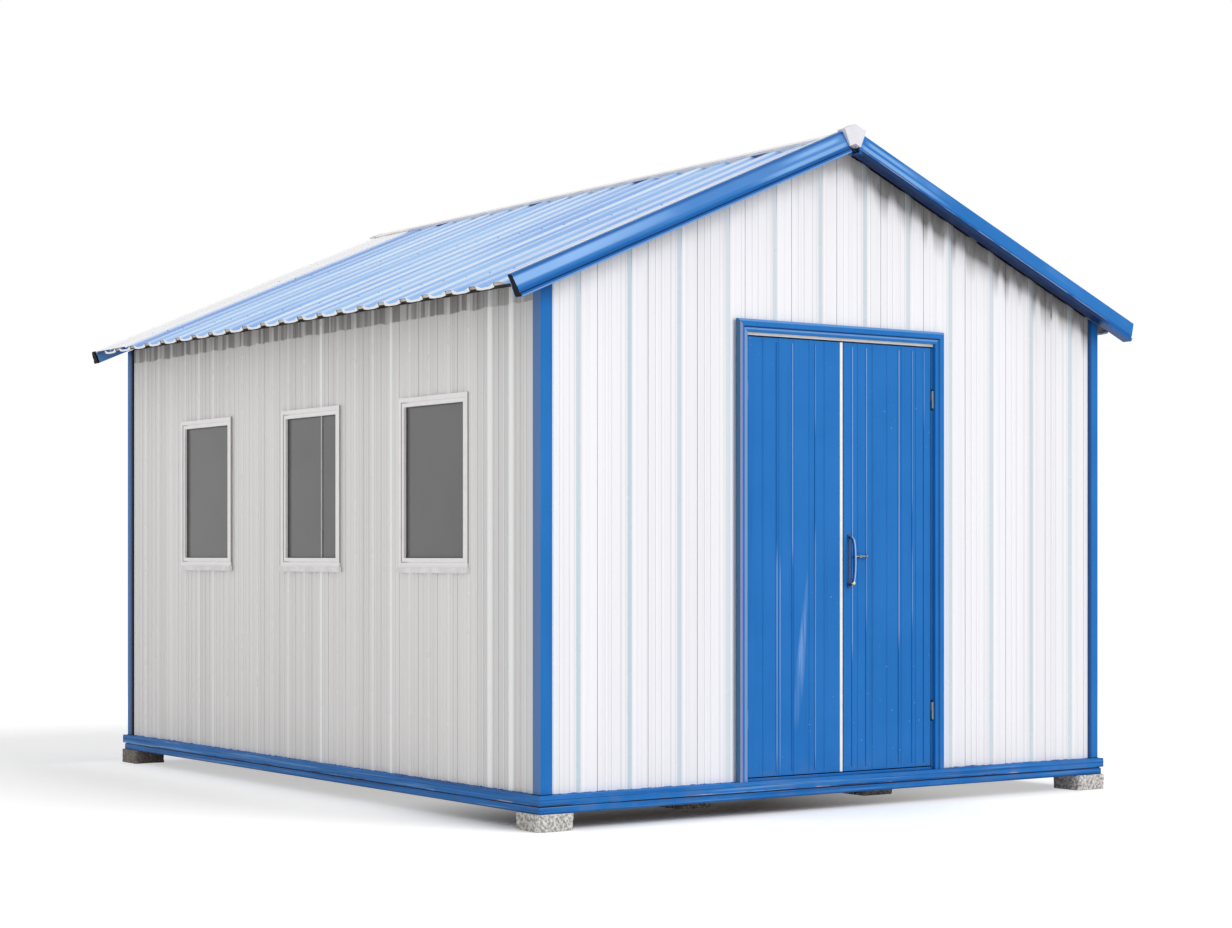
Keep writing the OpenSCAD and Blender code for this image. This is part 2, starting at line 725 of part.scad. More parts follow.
// Square tubes along the ridge direction: at the eave, halfway up and beside the ridge
module purlins() {
    ridge_edge = purlin_side * tan(roof_pitch) + ridge_purlin_in;
    eave_edge = (body_w / 2) / slope_cos - purlin_side * tan(roof_pitch);
    color(steel_blue) for (s = [ridge_edge, (ridge_edge + eave_edge - purlin_side) / 2, eave_edge - purlin_side])
        translate([0, 0, s]) difference() {
            translate([-purlin_y, -purlin_side, 0]) cube([2 * purlin_y, purlin_side, purlin_side]);
            translate([-purlin_y - 1, -purlin_side + purlin_t, purlin_t])
                cube([2 * purlin_y + 2, purlin_side - 2 * purlin_t, purlin_side - 2 * purlin_t]);
        }
}

module left_purlins() on_left_slope() purlins();
module right_purlins() on_right_slope() purlins();

// One slope's ribbed sheet, between the verge trims, from beside the ridge to the eave
module roof_sheet() {
    top = (crest_n + cap_t) * tan(roof_pitch) + sheet_ridge_in;
    back = roof_line(0);
    last = len(back) - 1;
    color(steel_blue) translate([0, 0, top]) linear_extrude(slope_l - top)
        polygon(concat(roof_line(sheet_t), [for (i = [0:last]) back[last - i]]));
}

module left_roof_sheet() on_left_slope() roof_sheet();
module right_roof_sheet() on_right_slope() roof_sheet();

// Hollow verge trim at the gable facing -Y, from beside the ridge down to the eave
module verge_trim(low_n, up_n) {
    translate([0, 0, verge_short]) linear_extrude(slope_l - verge_short) mirror([1, 0])
        translate([purlin_y, 0]) difference() {
            polygon(verge_outline(low_n, up_n, 0));
            polygon(verge_outline(low_n, up_n, verge_t));
        }
}

// The rear verge is flatter, and has an apron that lies on the last rib and turns down into the valley beside it
module rear_verge_trim() {
    lip_play = 0.3;
    start = cap_wing + 2 * cap_t;
    color("white") mirror([1, 0, 0]) verge_trim(-rear_verge_down, rear_top_n);
    color("white") translate([purlin_y - roof_bay, 0, start]) {
        translate([0, crest_n, 0]) cube([roof_bay + verge_t, verge_t, slope_l - start]);
        translate([0, sheet_t + lip_play, 0]) cube([verge_t, roof_rib_h - lip_play + verge_t, slope_l - start]);
    }
}

module front_left_verge() color(steel_blue) on_left_slope() verge_trim(verge_low_n, verge_up);
module front_right_verge() color(steel_blue) on_right_slope() verge_trim(verge_low_n, verge_up);
module rear_left_verge() on_left_slope() rear_verge_trim();
module rear_right_verge() on_right_slope() rear_verge_trim();

// Black plastic at the lower ends of the trims: a plug inside the front trim, a cap over the end of the rear one
module slope_end_caps() {
    plug_play = 0.1;
    translate([0, 0, slope_l - plug_in - plug_d]) linear_extrude(plug_d) mirror([1, 0]) translate([purlin_y, 0])
        polygon(verge_outline(verge_low_n, verge_up, verge_t + plug_play));
    translate([0, 0, slope_l]) linear_extrude(end_cap_t) translate([purlin_y, 0])
        polygon(verge_outline(-rear_verge_down, rear_top_n, 0));
}

module verge_end_caps() {
    color("dimgray") on_left_slope() slope_end_caps();
    color("dimgray") on_right_slope() slope_end_caps();
}

// Outline across the ridge of everything up to n above the slopes, down to a cut s along each slope
module ridge_outline(n, low_n, s) {
    a = [s * slope_cos, -s * slope_sin];
    up = [slope_sin, slope_cos];
    apex_up = n / slope_cos;
    apex_low = low_n / slope_cos;
    polygon([
        [0, apex_up], a + n * up, a + low_n * up, [0, apex_low],
        [-(a + low_n * up)[0], (a + low_n * up)[1]], [-(a + n * up)[0], (a + n * up)[1]]]);
}

// Bent sheet between the two end caps, with turned-down edges that stand on the sheets' ribs
module ridge_cap() {
    top_n = crest_n + cap_lift + cap_t;
    color("white") translate([0, sheet_w / 2, ridge_z]) rotate([90, 0, 0]) linear_extrude(sheet_w) difference() {
        ridge_outline(top_n, crest_n, cap_wing);
        ridge_outline(top_n - cap_t, crest_n - cap_t, cap_wing - cap_t);
    }
}

// White folded cap between the upper ends of the two verge trims at the front, from low_n to up_n
module ridge_end(low_n, up_n) {
    play = 0.5;
    s = verge_short - play;
    color("white") translate([0, -purlin_y, ridge_z]) rotate([90, 0, 0]) difference() {
        linear_extrude(verge_d) ridge_outline(up_n, low_n, s);
        translate([0, 0, -verge_t]) linear_extrude(verge_d)
            ridge_outline(up_n - verge_t, low_n + verge_t, s - verge_t);
    }
}

module front_ridge_end() ridge_end(verge_low_n + cap_raise, verge_up + cap_up);
module rear_ridge_end() mirror([0, 1, 0]) ridge_end(-rear_verge_down, rear_top_n + cap_up);

corner_pads();
inner_pads();
front_base_rail();
rear_base_rail();
left_base_rail();
right_base_rail();
floor_joists();
floor_deck();
front_left_post();
front_right_post();
rear_left_post();
rear_right_post();
front_wall_left();
front_wall_right();
front_gable_panel();
left_wall();
right_wall();
rear_wall();
window_frame_1();
window_frame_2();
window_frame_3();
window_glass();
door_head();
left_door_jamb();
right_door_jamb();
door_head_seal();
left_door_leaf();
right_door_leaf();
door_meeting_strip();
frame_hinges();
left_leaf_hinges();
right_leaf_hinges();
pull_handle();
latch_bolt();
left_purlins();
right_purlins();
left_roof_sheet();
right_roof_sheet();
front_left_verge();
front_right_verge();
rear_left_verge();
rear_right_verge();
verge_end_caps();
ridge_cap();
front_ridge_end();
rear_ridge_end();
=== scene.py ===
# %% [markdown]
# A metal garden shed: white ribbed panels between blue posts, a blue ribbed roof, double doors and three
# windows. The construction comes as a fixed frame of separate parts. This lesson gives every part its
# finish and adds the small things that are left to the end: rough concrete, screws, seals, closures,
# gaskets and dirt.

# %% Load the frame
import json
import math
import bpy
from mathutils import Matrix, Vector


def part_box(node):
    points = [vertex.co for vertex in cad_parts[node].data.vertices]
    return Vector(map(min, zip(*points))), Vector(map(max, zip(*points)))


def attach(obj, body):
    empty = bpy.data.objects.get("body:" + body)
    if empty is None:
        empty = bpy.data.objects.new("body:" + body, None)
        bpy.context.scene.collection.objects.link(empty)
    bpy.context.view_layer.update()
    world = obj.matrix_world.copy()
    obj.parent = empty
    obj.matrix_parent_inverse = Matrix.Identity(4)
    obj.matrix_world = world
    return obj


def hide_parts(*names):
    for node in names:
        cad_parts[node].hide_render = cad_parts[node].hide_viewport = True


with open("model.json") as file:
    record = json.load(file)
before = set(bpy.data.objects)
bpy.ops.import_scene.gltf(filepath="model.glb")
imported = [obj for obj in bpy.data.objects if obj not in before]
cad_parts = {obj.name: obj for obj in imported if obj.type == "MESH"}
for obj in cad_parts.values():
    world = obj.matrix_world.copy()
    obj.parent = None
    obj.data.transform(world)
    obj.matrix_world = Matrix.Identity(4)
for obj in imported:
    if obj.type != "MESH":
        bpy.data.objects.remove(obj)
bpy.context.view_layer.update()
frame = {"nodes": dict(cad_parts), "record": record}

from types import SimpleNamespace

import bmesh
import bpy
from mathutils import Matrix, Vector, noise

nodes = frame["nodes"]
by_slot = {}
for part in frame["record"]["subparts"]:
    by_slot.setdefault(part["material_slot"], []).append(part["node"])

# %% [markdown]
# The camera stands level with a person's chest, off the left front corner. A level camera keeps upright
# edges upright. The horizon lies below the middle of the picture, so the lens is shifted up and not
# tilted.

# %% Camera
IMAGE_W = 1232
IMAGE_H = 928
FOCAL_PX = 2412.5
HORIZON_PX = 555.93
TURN = math.radians(35.04)
EYE = (-7.300, -10.718, 1.174)
SENSOR = 36.0
FAR_CLIP = 200

camera_data = bpy.data.cameras.new("camera")
camera_data.sensor_width = SENSOR
camera_data.lens = FOCAL_PX / IMAGE_W * SENSOR
camera_data.shift_y = (HORIZON_PX - IMAGE_H / 2) / IMAGE_W
camera_data.clip_end = FAR_CLIP
camera = bpy.data.objects.new("camera", camera_data)
camera.location = EYE
camera.rotation_euler = (math.radians(90), 0, -TURN)
bpy.context.collection.objects.link(camera)
bpy.context.scene.camera = camera
print("lens:", round(camera_data.lens, 1), "shift:", round(camera_data.shift_y, 4))

# %% [markdown]
# Shader maths reads best as plain arithmetic. Shade wraps one socket and turns +, -, * and / into Math
# nodes, so a mask is written as a formula and not wired by hand.

# %% Shader arithmetic
class Shade:
    """One output socket of a finish, with arithmetic that adds Math nodes."""

    def __init__(self, finish, socket):
        self.finish = finish
        self.socket = socket

    def math(self, operation, *values):
        return self.finish.add("ShaderNodeMath", {"operation": operation}, dict(enumerate(values)))

    def __add__(self, other):
        return self.math("ADD", self, other)

    __radd__ = __add__

    def __sub__(self, other):
        return self.math("SUBTRACT", self, other)

    def __rsub__(self, other):
        return self.math("SUBTRACT", other, self)

    def __mul__(self, other):
        return self.math("MULTIPLY", self, other)

    __rmul__ = __mul__

    def __truediv__(self, other):
        return self.math("DIVIDE", self, other)

    def __abs__(self):
        return self.math("ABSOLUTE", self)

    def above(self, other):
        return self.math("MAXIMUM", self, other)

    def below(self, other):
        return self.math("MINIMUM", self, other)

    def step(self, start, end):
        """0 before start and 1 after end, smooth between them; start may be the larger one."""
        settings = {"interpolation_type": "SMOOTHSTEP"}
        return self.finish.add("ShaderNodeMapRange", settings, {0: self, 1: start, 2: end, 3: 0.0, 4: 1.0})

    def repeat(self, length):
        """Distance from the middle of each repeat of a length."""
        turns = self / length
        return (turns.math("FRACT", turns) - 0.5) * length

    def band(self, start, peak_start, peak_end, end):
        """1 between the two peaks, 0 outside start and end."""
        return self.step(start, peak_start) * self.step(end, peak_end)


# %% [markdown]
# One class per material keeps the recipes short. Every pattern reads Object coordinates in metres, so a
# streak or a speck has the same size on every part and stays where it is when a door swings. Colours are
# laid over each other like coats of paint: each coat is a mask and a colour, and the last one ends up on
# the shader.

# %% Materials
class Finish:
    """A material with one Principled shader."""

    def __init__(self, name, colour, roughness, metallic=0.0):
        self.material = bpy.data.materials.new(name)
        self.material.use_nodes = True
        self.material.diffuse_color = (*colour, 1)
        self.tree = self.material.node_tree
        self.tree.nodes.clear()
        self.shader = self.tree.nodes.new("ShaderNodeBsdfPrincipled")
        self.output = self.tree.nodes.new("ShaderNodeOutputMaterial")
        self.tree.links.new(self.shader.outputs[0], self.output.inputs["Surface"])
        self.place = self.add("ShaderNodeTexCoord", out="Object")
        self.colour = colour
        self.set("Base Color", colour)
        self.set("Roughness", roughness)
        self.set("Metallic", metallic)

    def add(self, kind, settings=None, inputs=None, out=0):
        """Makes a node, sets it up, fills its sockets and returns one output."""
        node = self.tree.nodes.new(kind)
        for key, value in (settings or {}).items():
            setattr(node, key, value)
        for key, value in (inputs or {}).items():
            self.plug(node.inputs[key], value)
        return Shade(self, node.outputs[out])

    def plug(self, socket, value):
        if isinstance(value, Shade):
            self.tree.links.new(value.socket, socket)
        elif socket.type == "RGBA" and len(value) == 3:
            socket.default_value = (*value, 1)
        else:
            socket.default_value = value

    def set(self, name, value):
        self.plug(self.shader.inputs[name], value)

    def split(self, vector):
        """The three parts of a vector, as three values."""
        node = self.tree.nodes.new("ShaderNodeSeparateXYZ")
        self.tree.links.new(vector.socket, node.inputs[0])
        return [Shade(self, socket) for socket in node.outputs]

    def axes(self):
        return self.split(self.place)

    def facing(self):
        """Which way the surface looks, as x, y and z from -1 to 1."""
        return self.split(self.add("ShaderNodeNewGeometry", out="Normal"))

    def noise(self, scale, detail=4.0, rough=0.55, stretch=None):
        """Cloudy noise from 0 to 1; stretch scales the axes first."""
        where = self.place
        if stretch:
            where = self.add("ShaderNodeMapping", None, {"Vector": self.place, "Scale": stretch})
        inputs = {"Vector": where, "Scale": scale, "Detail": detail, "Roughness": rough}
        return self.add("ShaderNodeTexNoise", None, inputs)

    def cells(self, scale):
        """Distance to the middle of the nearest cell."""
        return self.add("ShaderNodeTexVoronoi", None, {"Vector": self.place, "Scale": scale}, "Distance")

    def mix(self, amount, first, second):
        """first where amount is 0, second where it is 1."""
        return self.add("ShaderNodeMix", {"data_type": "RGBA"}, {0: amount, 6: first, 7: second}, 2)

    def coat(self, amount, colour):
        """Lays a colour over the finish so far, as thick as amount says."""
        self.colour = self.mix(amount, self.colour, colour)
        self.set("Base Color", self.colour)

    def bump(self, height, strength, distance):
        inputs = {"Height": height, "Strength": strength, "Distance": distance}
        self.set("Normal", self.add("ShaderNodeBump", None, inputs))

    def wear(self, node_names):
        """Gives this finish to parts of the frame."""
        for name in node_names:
            mesh = nodes[name].data
            mesh.materials.clear()
            mesh.materials.append(self.material)
        print(self.material.name, "on", len(node_names), "parts")


# %% [markdown]
# Light: a soft grey sky fills every side, and one broad lamp from the front right makes the door side
# bright and leaves the window side in shade. The lamps stay at a plain level, so a colour renders about
# as it is written. The camera, gloss and glass see the sky as plain white.

# %% Sky and lamp
SKY = 0.655
LAMP = 1.25
LAMP_FROM = Vector((0.34, -0.72, 0.60))
LAMP_SPREAD = math.radians(35)


def seen_directly(tree):
    """1 for rays from the camera, from gloss and through glass."""
    path = tree.nodes.new("ShaderNodeLightPath")
    seen = path.outputs["Is Camera Ray"]
    for ray in ("Is Glossy Ray", "Is Transmission Ray"):
        either = tree.nodes.new("ShaderNodeMath")
        either.operation = "MAXIMUM"
        tree.links.new(seen, either.inputs[0])
        tree.links.new(path.outputs[ray], either.inputs[1])
        seen = either.outputs[0]
    return seen


world = bpy.data.worlds.new("studio")
bpy.context.scene.world = world
world.use_nodes = True
sky = world.node_tree.nodes["Background"]
strength = world.node_tree.nodes.new("ShaderNodeMapRange")
strength.inputs["To Min"].default_value = SKY
strength.inputs["To Max"].default_value = 1.0
world.node_tree.links.new(seen_directly(world.node_tree), strength.inputs["Value"])
world.node_tree.links.new(strength.outputs[0], sky.inputs["Strength"])
sky.inputs["Color"].default_value = (1, 1, 1, 1)

lamp_data = bpy.data.lights.new("lamp", "SUN")
lamp_data.energy = LAMP
lamp_data.angle = LAMP_SPREAD
lamp = bpy.data.objects.new("lamp", lamp_data)
lamp.rotation_euler = LAMP_FROM.to_track_quat("Z", "Y").to_euler()
bpy.context.collection.objects.link(lamp)
print("sky", SKY, "lamp", LAMP)

# %% [markdown]
# The floor is a wide pale disc. Near the shed it takes shadows, and further out it fades into plain
# white, so no horizon shows. What the camera sees of it is paler than what it throws back as light. Under
# the shed, away from its front left corner, the camera sees a white glow mixed in: painted light that
# lifts the shade there.

# %% Floor
FLOOR_R = 60.0
FLOOR_SIDES = 96
FLOOR_PALE = 0.93
FLOOR_SEEN = 1.30
FADE_START = 4.5
FADE_END = 11.0
UNDER_PALE = 0.5             # how much the shade under the shed is lifted
UNDER_X = (-2.3, -1.8, 1.75, 2.0)
UNDER_Y = (-2.4, -2.1, 2.1, 2.4)
CORNER_X = (-0.4, 1.2)       # the front left corner keeps its shade up to here
CORNER_Y = (-1.9, -0.6)

floor_shape = bmesh.new()
bmesh.ops.create_circle(floor_shape, cap_ends=True, segments=FLOOR_SIDES, radius=FLOOR_R)
floor_mesh = bpy.data.meshes.new("floor")
floor_shape.to_mesh(floor_mesh)
floor_shape.free()
floor = bpy.data.objects.new("floor", floor_mesh)
bpy.context.collection.objects.link(floor)

pale = Finish("pale_floor", (FLOOR_PALE,) * 3, 0.9)
pale.set("Specular IOR Level", 0.0)
seen = Shade(pale, seen_directly(pale.tree))
pale.coat(seen, (FLOOR_SEEN,) * 3)
away = pale.add("ShaderNodeVectorMath", {"operation": "LENGTH"}, {0: pale.place}, 1)
glow = pale.tree.nodes.new("ShaderNodeEmission")
blend = pale.tree.nodes.new("ShaderNodeMixShader")
floor_x, floor_y, _ = pale.axes()
# painted light: under the shed, away from the front left corner, the camera sees a white glow that lifts the
# shade
under = floor_x.band(*UNDER_X) * floor_y.band(*UNDER_Y)
under = under * floor_y.step(*CORNER_Y).above(floor_x.step(*CORNER_X)) * seen
pale.plug(blend.inputs[0], away.step(FADE_START, FADE_END).above(under * UNDER_PALE))
pale.tree.links.new(pale.shader.outputs[0], blend.inputs[1])
pale.tree.links.new(glow.outputs[0], blend.inputs[2])
pale.tree.links.new(blend.outputs[0], pale.output.inputs["Surface"])
floor_mesh.materials.append(pale.material)
print("floor radius", FLOOR_R)

# %% [markdown]
# The roof gives the lines that dirt and added pieces follow. Its slopes are planes through one ridge
# line, so a height over the sheet is worked out from x and z, and every roof piece is drawn flat and then
# laid on its slope.

# %% Roof measures
PITCH = math.radians(23.3)
RIDGE_Z = 3.116              # where the undersides of the two sheets would meet
ROOF_BAYS = 22
RIB_FOOT = 0.130
RIB_TOP = 0.050
RIB_H = 0.014
SHEET_T = 0.001
CREST = RIB_H + SHEET_T
CAP_WING = 0.045             # how far the ridge cap reaches down each slope

sheet_low, sheet_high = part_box("left_roof_sheet")
slope_l = (RIDGE_Z - sheet_low[2]) / math.sin(PITCH)
sheet_half = sheet_high[1]
bay = 2 * sheet_half / ROOF_BAYS
rib_ys = [-sheet_half + (i + 0.5) * bay for i in range(ROOF_BAYS)]
post_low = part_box("front_left_post")[0]
rail_z = post_low[2]


def on_slope(side):
    """Axes of the left (-1) or right (1) slope: x runs down it, y along the ridge, z square to it."""
    down = Vector((side * math.cos(PITCH), 0, -math.sin(PITCH)))
    up = Vector((side * math.sin(PITCH), 0, math.cos(PITCH)))
    turn = Matrix((down, Vector((0, 1, 0)), up)).transposed().to_4x4()
    return Matrix.Translation((0, 0, RIDGE_Z)) @ turn


def over_sheet(x, z):
    """Height square to the slope, from the underside of the sheets."""
    return (z - RIDGE_Z) * math.cos(PITCH) + abs(x) * math.sin(PITCH)


print("slope length", round(slope_l, 3), "bay", round(bay, 4), "rail top", round(rail_z, 3))

# %% [markdown]
# Panels are white lacquered steel with fine streaks, dust at the foot and dark joints. A rib's height
# over the panel says where its top and its foot are, so no pattern has to be lined up by hand. Grey lines
# on the rib flanks are painted shade. Rail paint has been smeared on the lowest edge. The gables and the
# long walls then each get dirt and painted light of their own from a second function.

# %% Panel finish
BLUE = (0.011, 0.158, 0.490)
SOOT_AND_SHADE = (0.13, 0.12, 0.115)
JOINT_DARK = (0.30, 0.28, 0.25)
PANEL_ROUGH = 0.42
DUSTY_FOOT = 0.30            # how far dust reaches up the wall
SMEAR_LOW = 0.0015           # least height of the smeared rail paint
SMEAR_MORE = 0.006


def tone(colour, factor, lift=0.0):
    """A darker or lighter version of a colour."""
    return tuple(part * factor + lift for part in colour)


def panel_finish(name, white, panel_names, axis, line_amount, add_dirt_and_light):
    """White lacquer for walls that face along x (axis 0) or y (axis 1); add_dirt_and_light returns the
    walls' soot and painted shade.
    """
    finish = Finish(name, white, PANEL_ROUGH)
    z = finish.axes()[2]
    low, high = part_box(panel_names[0])
    out = abs(finish.axes()[axis]) - max(abs(low[axis]), abs(high[axis]))
    ribs = SimpleNamespace(out=out)
    ribs.top = out.step(-0.0009, -0.0003)
    ribs.foot = out.band(-0.0071, -0.0068, -0.0060, -0.0056)
    ribs.joint = out.band(-0.0150, -0.0130, -0.0092, -0.0078)
    ribs.streaks = finish.noise(1.0, 5.0, 0.6, (11.0, 11.0, 0.30))
    ribs.which = finish.noise(1.0, 0.0, 0.5, (3.7, 3.7, 0.12))
    rim_shade = out.band(-0.0024, -0.0016, -0.0009, -0.0005)
    lines = finish.noise(1.0, 2.0, 0.5, (85.0, 85.0, 0.22))
    dusty = finish.noise(2.2, 4.0)
    foot = z.step(rail_z + DUSTY_FOOT, rail_z) * dusty.step(0.3, 0.7)
    finish.coat(ribs.streaks.step(0.40, 0.80) * 0.32, tone(white, 0.90))
    finish.coat(lines.step(0.52, 0.72) * line_amount, tone(white, 0.78))
    finish.coat(foot * 0.20, (0.60, 0.57, 0.53))
    # painted shade: grey lines on the rib flanks near their tops and their feet
    finish.coat(rim_shade * 0.30, (0.50, 0.50, 0.50))
    finish.coat(ribs.foot * (ribs.which.step(0.35, 0.60) * 0.35 + 0.15), (0.52, 0.50, 0.50))
    finish.coat(ribs.joint * (ribs.streaks.step(0.3, 0.7) * 0.35 + 0.18), JOINT_DARK)
    # soot, painted shade and painted shadow from the wall's own function
    finish.coat(add_dirt_and_light(finish, ribs), SOOT_AND_SHADE)
    wavy = finish.noise(1.0, 4.0, 0.7, (27.0, 27.0, 0.0)).step(0.40, 0.80)
    finish.coat((z - (wavy * SMEAR_MORE + (rail_z + SMEAR_LOW))).step(0.0012, -0.0012), BLUE)
    finish.set("Roughness", PANEL_ROUGH + dusty * 0.12 - ribs.top * 0.20)
    finish.bump(finish.noise(9.0, 2.0), 0.04, 0.003)
    finish.wear(panel_names)


# %% [markdown]
# On the gables the flat tops of the main ribs are painted pale blue-green, a painted reflection of the
# sky. Grey lines beside them, a grey wash down from the rake and a blue-grey strip beside the door trim
# are painted shade. Soot hangs under the rake, mottled and thicker on the right, over a painted shade
# close to the rake. It could be painted on an image, but the drop below the rake is a formula in x and z,
# so the soot and the shade follow the roof exactly.

# %% Gable walls
GABLE_WHITE = (0.908, 0.904, 0.942)
RIB_TEAL = (0.51, 0.635, 0.715)
RIB_PALE = (0.575, 0.67, 0.745)
GABLE_SPAN = 3.240           # width of a gable wall between the posts
GABLE_BAYS = 12
TRIM_EDGE_X = -0.629         # outer edge of the trim round the doorway, on the left
TRIM_TOP = (2.25, 2.23)
DRIP_X = (1.352, 1.357, 1.364, 1.370)
DRIP_Z = (2.33, 2.37, 2.44, 2.47)


def rake_soot_and_shade(finish, drop):
    """Mottled streaky soot that thins out with the drop below the rake, over a painted shade close to the
    rake.
    """
    columns = finish.noise(1.0, 0.0, 0.5, (14.0, 0.0, 0.0)).step(0.42, 0.56)
    spots = finish.noise(1.0, 5.0, 0.65, (38.0, 38.0, 6.0)).step(0.2, 0.62)
    reach = 0.11 + columns * 0.12
    smear = drop.step(reach, reach * 0.1) * (columns * 0.40 + 0.42)
    return (smear + drop.step(0.115, 0.045) * 0.6).below(1.0) * (spots * 0.2 + 0.72)


def gable_dirt_and_light(finish, ribs):
    x, y, z = finish.axes()
    across = (x + GABLE_SPAN / 2).repeat(GABLE_SPAN / GABLE_BAYS)
    # painted reflection: the ribs' tops are painted pale blue-green, as they look when they mirror the sky
    stripe = across.band(-0.0110, -0.0090, 0.0085, 0.0105) * (ribs.which.step(0.30, 0.50) * 0.22 + 0.75)
    finish.coat(stripe, finish.mix(x.step(-1.25, -0.75), RIB_TEAL, RIB_PALE))
    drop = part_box("rear_wall")[1][2] - abs(x) * math.tan(PITCH) - z
    # painted shade: grey lines beside the rib tops, darker near the rake
    beside_shade = across.band(0.0085, 0.0105, 0.0125, 0.0145)
    beside_shade = beside_shade.above(across.band(-0.0145, -0.0125, -0.0110, -0.0095) * 0.6)
    finish.coat(beside_shade * (drop.step(0.22, 0.05) * 0.45 + 0.45), (0.33, 0.35, 0.35))
    front = y.step(0.0, -0.1)
    right = x.step(-0.40, 0.30) * front
    # painted shade: a grey wash down from the rake
    painted_shading = drop.step(0.50, 0.0) * ribs.streaks.step(0.25, 0.65)
    finish.coat(painted_shading * (right * 0.07 + 0.10), (0.52, 0.51, 0.51))
    # painted shadow of the door trim on the wall beside it
    trim_shadow = (x - TRIM_EDGE_X).band(-0.017, -0.013, 0.0, 0.004)
    finish.coat(trim_shadow * front * z.step(*TRIM_TOP) * 0.8, (0.40, 0.48, 0.62))
    # soot and painted shade under the rake, mostly on the right
    soot_and_shade = rake_soot_and_shade(finish, drop) * (right * 0.90 + 0.06) * (1 - ribs.top * 0.3)
    drip = x.band(*DRIP_X) * z.band(*DRIP_Z) * front
    return soot_and_shade.above(drip * 0.85)


gable_panels = ["front_gable_panel", "front_wall_left", "front_wall_right", "rear_wall"]
panel_finish("gable_panel_white", GABLE_WHITE, gable_panels, 1, 0.30, gable_dirt_and_light)

# %% [markdown]
# The long walls are a warmer, duller white. A few ribs are painted white as painted highlights, and the
# seams between panels are dark. Grey lines beside the front ribs, a darker upper wall and a streaked band
# with a wavy lower edge under the left eave are painted shade and painted shadow.

# %% Long walls
LONG_WHITE = (0.885, 0.872, 0.866)
GLINT_WHITE = (0.98, 1.0, 1.0)
BRIGHT_RIBS = (-0.866, -0.173)
NEAR_END = (-1.60, -1.64)    # the rib beside the front post starts here
EAVE_SHADE_Z = 2.266         # the painted eave shadow ends at this height
EAVE_WAVE = 0.03


def long_wall_dirt_and_light(finish, ribs):
    x, y, z = finish.axes()
    near = y.step(*NEAR_END)
    # painted highlights: the wide front ribs and a few others are painted white
    wide = ribs.out.step(-0.0032, -0.0020) * near
    glint = (ribs.top * (ribs.which.step(0.55, 0.62) * 0.22 + 0.06)).above(wide)
    for rib in BRIGHT_RIBS:
        glint = glint.above(ribs.top * abs(y - rib).step(0.03, 0.02) * 0.85)
    seams = finish.noise(1.0, 0.0, 0.5, (0.0, 6.1, 0.0)).step(0.45, 0.60)
    broad = finish.noise(1.0, 2.0, 0.5, (0.0, 5.5, 0.12))
    finish.coat(ribs.joint * (seams * 0.7 + 0.15), JOINT_DARK)
    finish.coat(broad.step(0.42, 0.62) * 0.16, (0.62, 0.60, 0.59))
    # painted shade: darker towards the eave, and grey lines beside the front ribs
    finish.coat(z.step(1.80, 2.30) * 0.22, (0.42, 0.42, 0.41))
    finish.coat(ribs.foot * near * 0.55, (0.40, 0.41, 0.42))
    finish.coat(glint, GLINT_WHITE)
    # painted shadow of the left eave, streaked, with a wavy lower edge
    columns = finish.noise(1.0, 1.0, 0.5, (0.0, 15.0, 0.0)).step(0.44, 0.53)
    wavy = EAVE_SHADE_Z + (finish.noise(1.0, 2.0, 0.5, (0.0, 9.0, 0.0)) - 0.5) * EAVE_WAVE
    soot_and_shade = (z - wavy).step(-0.004, 0.004) * (columns * 0.45 + 0.27) * (1 - ribs.top * 0.6)
    return soot_and_shade * (y.step(-2.0, -1.5) * 0.3 + 0.7) * x.step(0.1, -0.1)


panel_finish("long_panel_white", LONG_WHITE, ["left_wall", "right_wall"], 0, 0.55, long_wall_dirt_and_light)

# %% [markdown]
# Blue lacquer covers posts, rails, trims and the handle. It is one paint: a satin coat with faint cloudy
# patches, streaks along each part and dust low down, with painted shade on undersides. One function lays
# that paint, and the functions after it add what is particular to a kind of part.

# %% Blue lacquer
BLUE_GLOSS = 0.14
NAVY = (0.006, 0.035, 0.14)
UNDERSIDE_SHADE = (0.004, 0.016, 0.06)
DUST = (0.30, 0.29, 0.27)
ALONG_Z = (30.0, 30.0, 0.5)
ALONG_RAIL = (0.7, 0.7, 110.0)
ALONG_VERGE = (1.5, 60.0, 1.5)


def blue_coat(name, along, roughness=0.30):
    """A blue finish with patches, streaks along the part and grime."""
    finish = Finish(name, BLUE, roughness)
    finish.set("Specular IOR Level", BLUE_GLOSS)
    patches = finish.noise(3.0, 5.0)
    streaks = finish.noise(1.0, 4.0, 0.6, along)
    dust = finish.axes()[2].step(0.30, 0.06) * finish.noise(9.0, 5.0).step(0.40, 0.75)
    finish.coat(patches.step(0.3, 0.75) * 0.7, tone(BLUE, 1.10, 0.008))
    finish.coat(streaks.step(0.52, 0.80) * 0.45, tone(BLUE, 0.66))
    finish.coat(streaks.step(0.42, 0.20) * 0.30, tone(BLUE, 1.2, 0.04))
    # painted shade on every face that looks down
    finish.coat(finish.facing()[2].step(-0.55, -0.9) * 0.85, UNDERSIDE_SHADE)
    finish.coat(dust * 0.18, DUST)
    finish.set("Roughness", roughness + finish.noise(5.0) * 0.14 + dust * 0.3)
    finish.bump(finish.noise(60.0, 2.0), 0.03, 0.001)
    return finish


# %% [markdown]
# Posts are plain folded steel. Their left sides and their tops under the eaves get painted shade, and two
# of them have a dark line of painted shade in the gap beside the wall.

# %% Posts
POST_SHADE = (0.19, 0.26, 0.40)
POST_TOP = (2.22, 2.38)
REAR_LINE_Y = (2.083, 2.085, 2.104, 2.107)
REAR_LINE_SHADE = (0.030, 0.022, 0.020)
RIGHT_LINE_X = (1.610, 1.620, 1.626, 1.644)


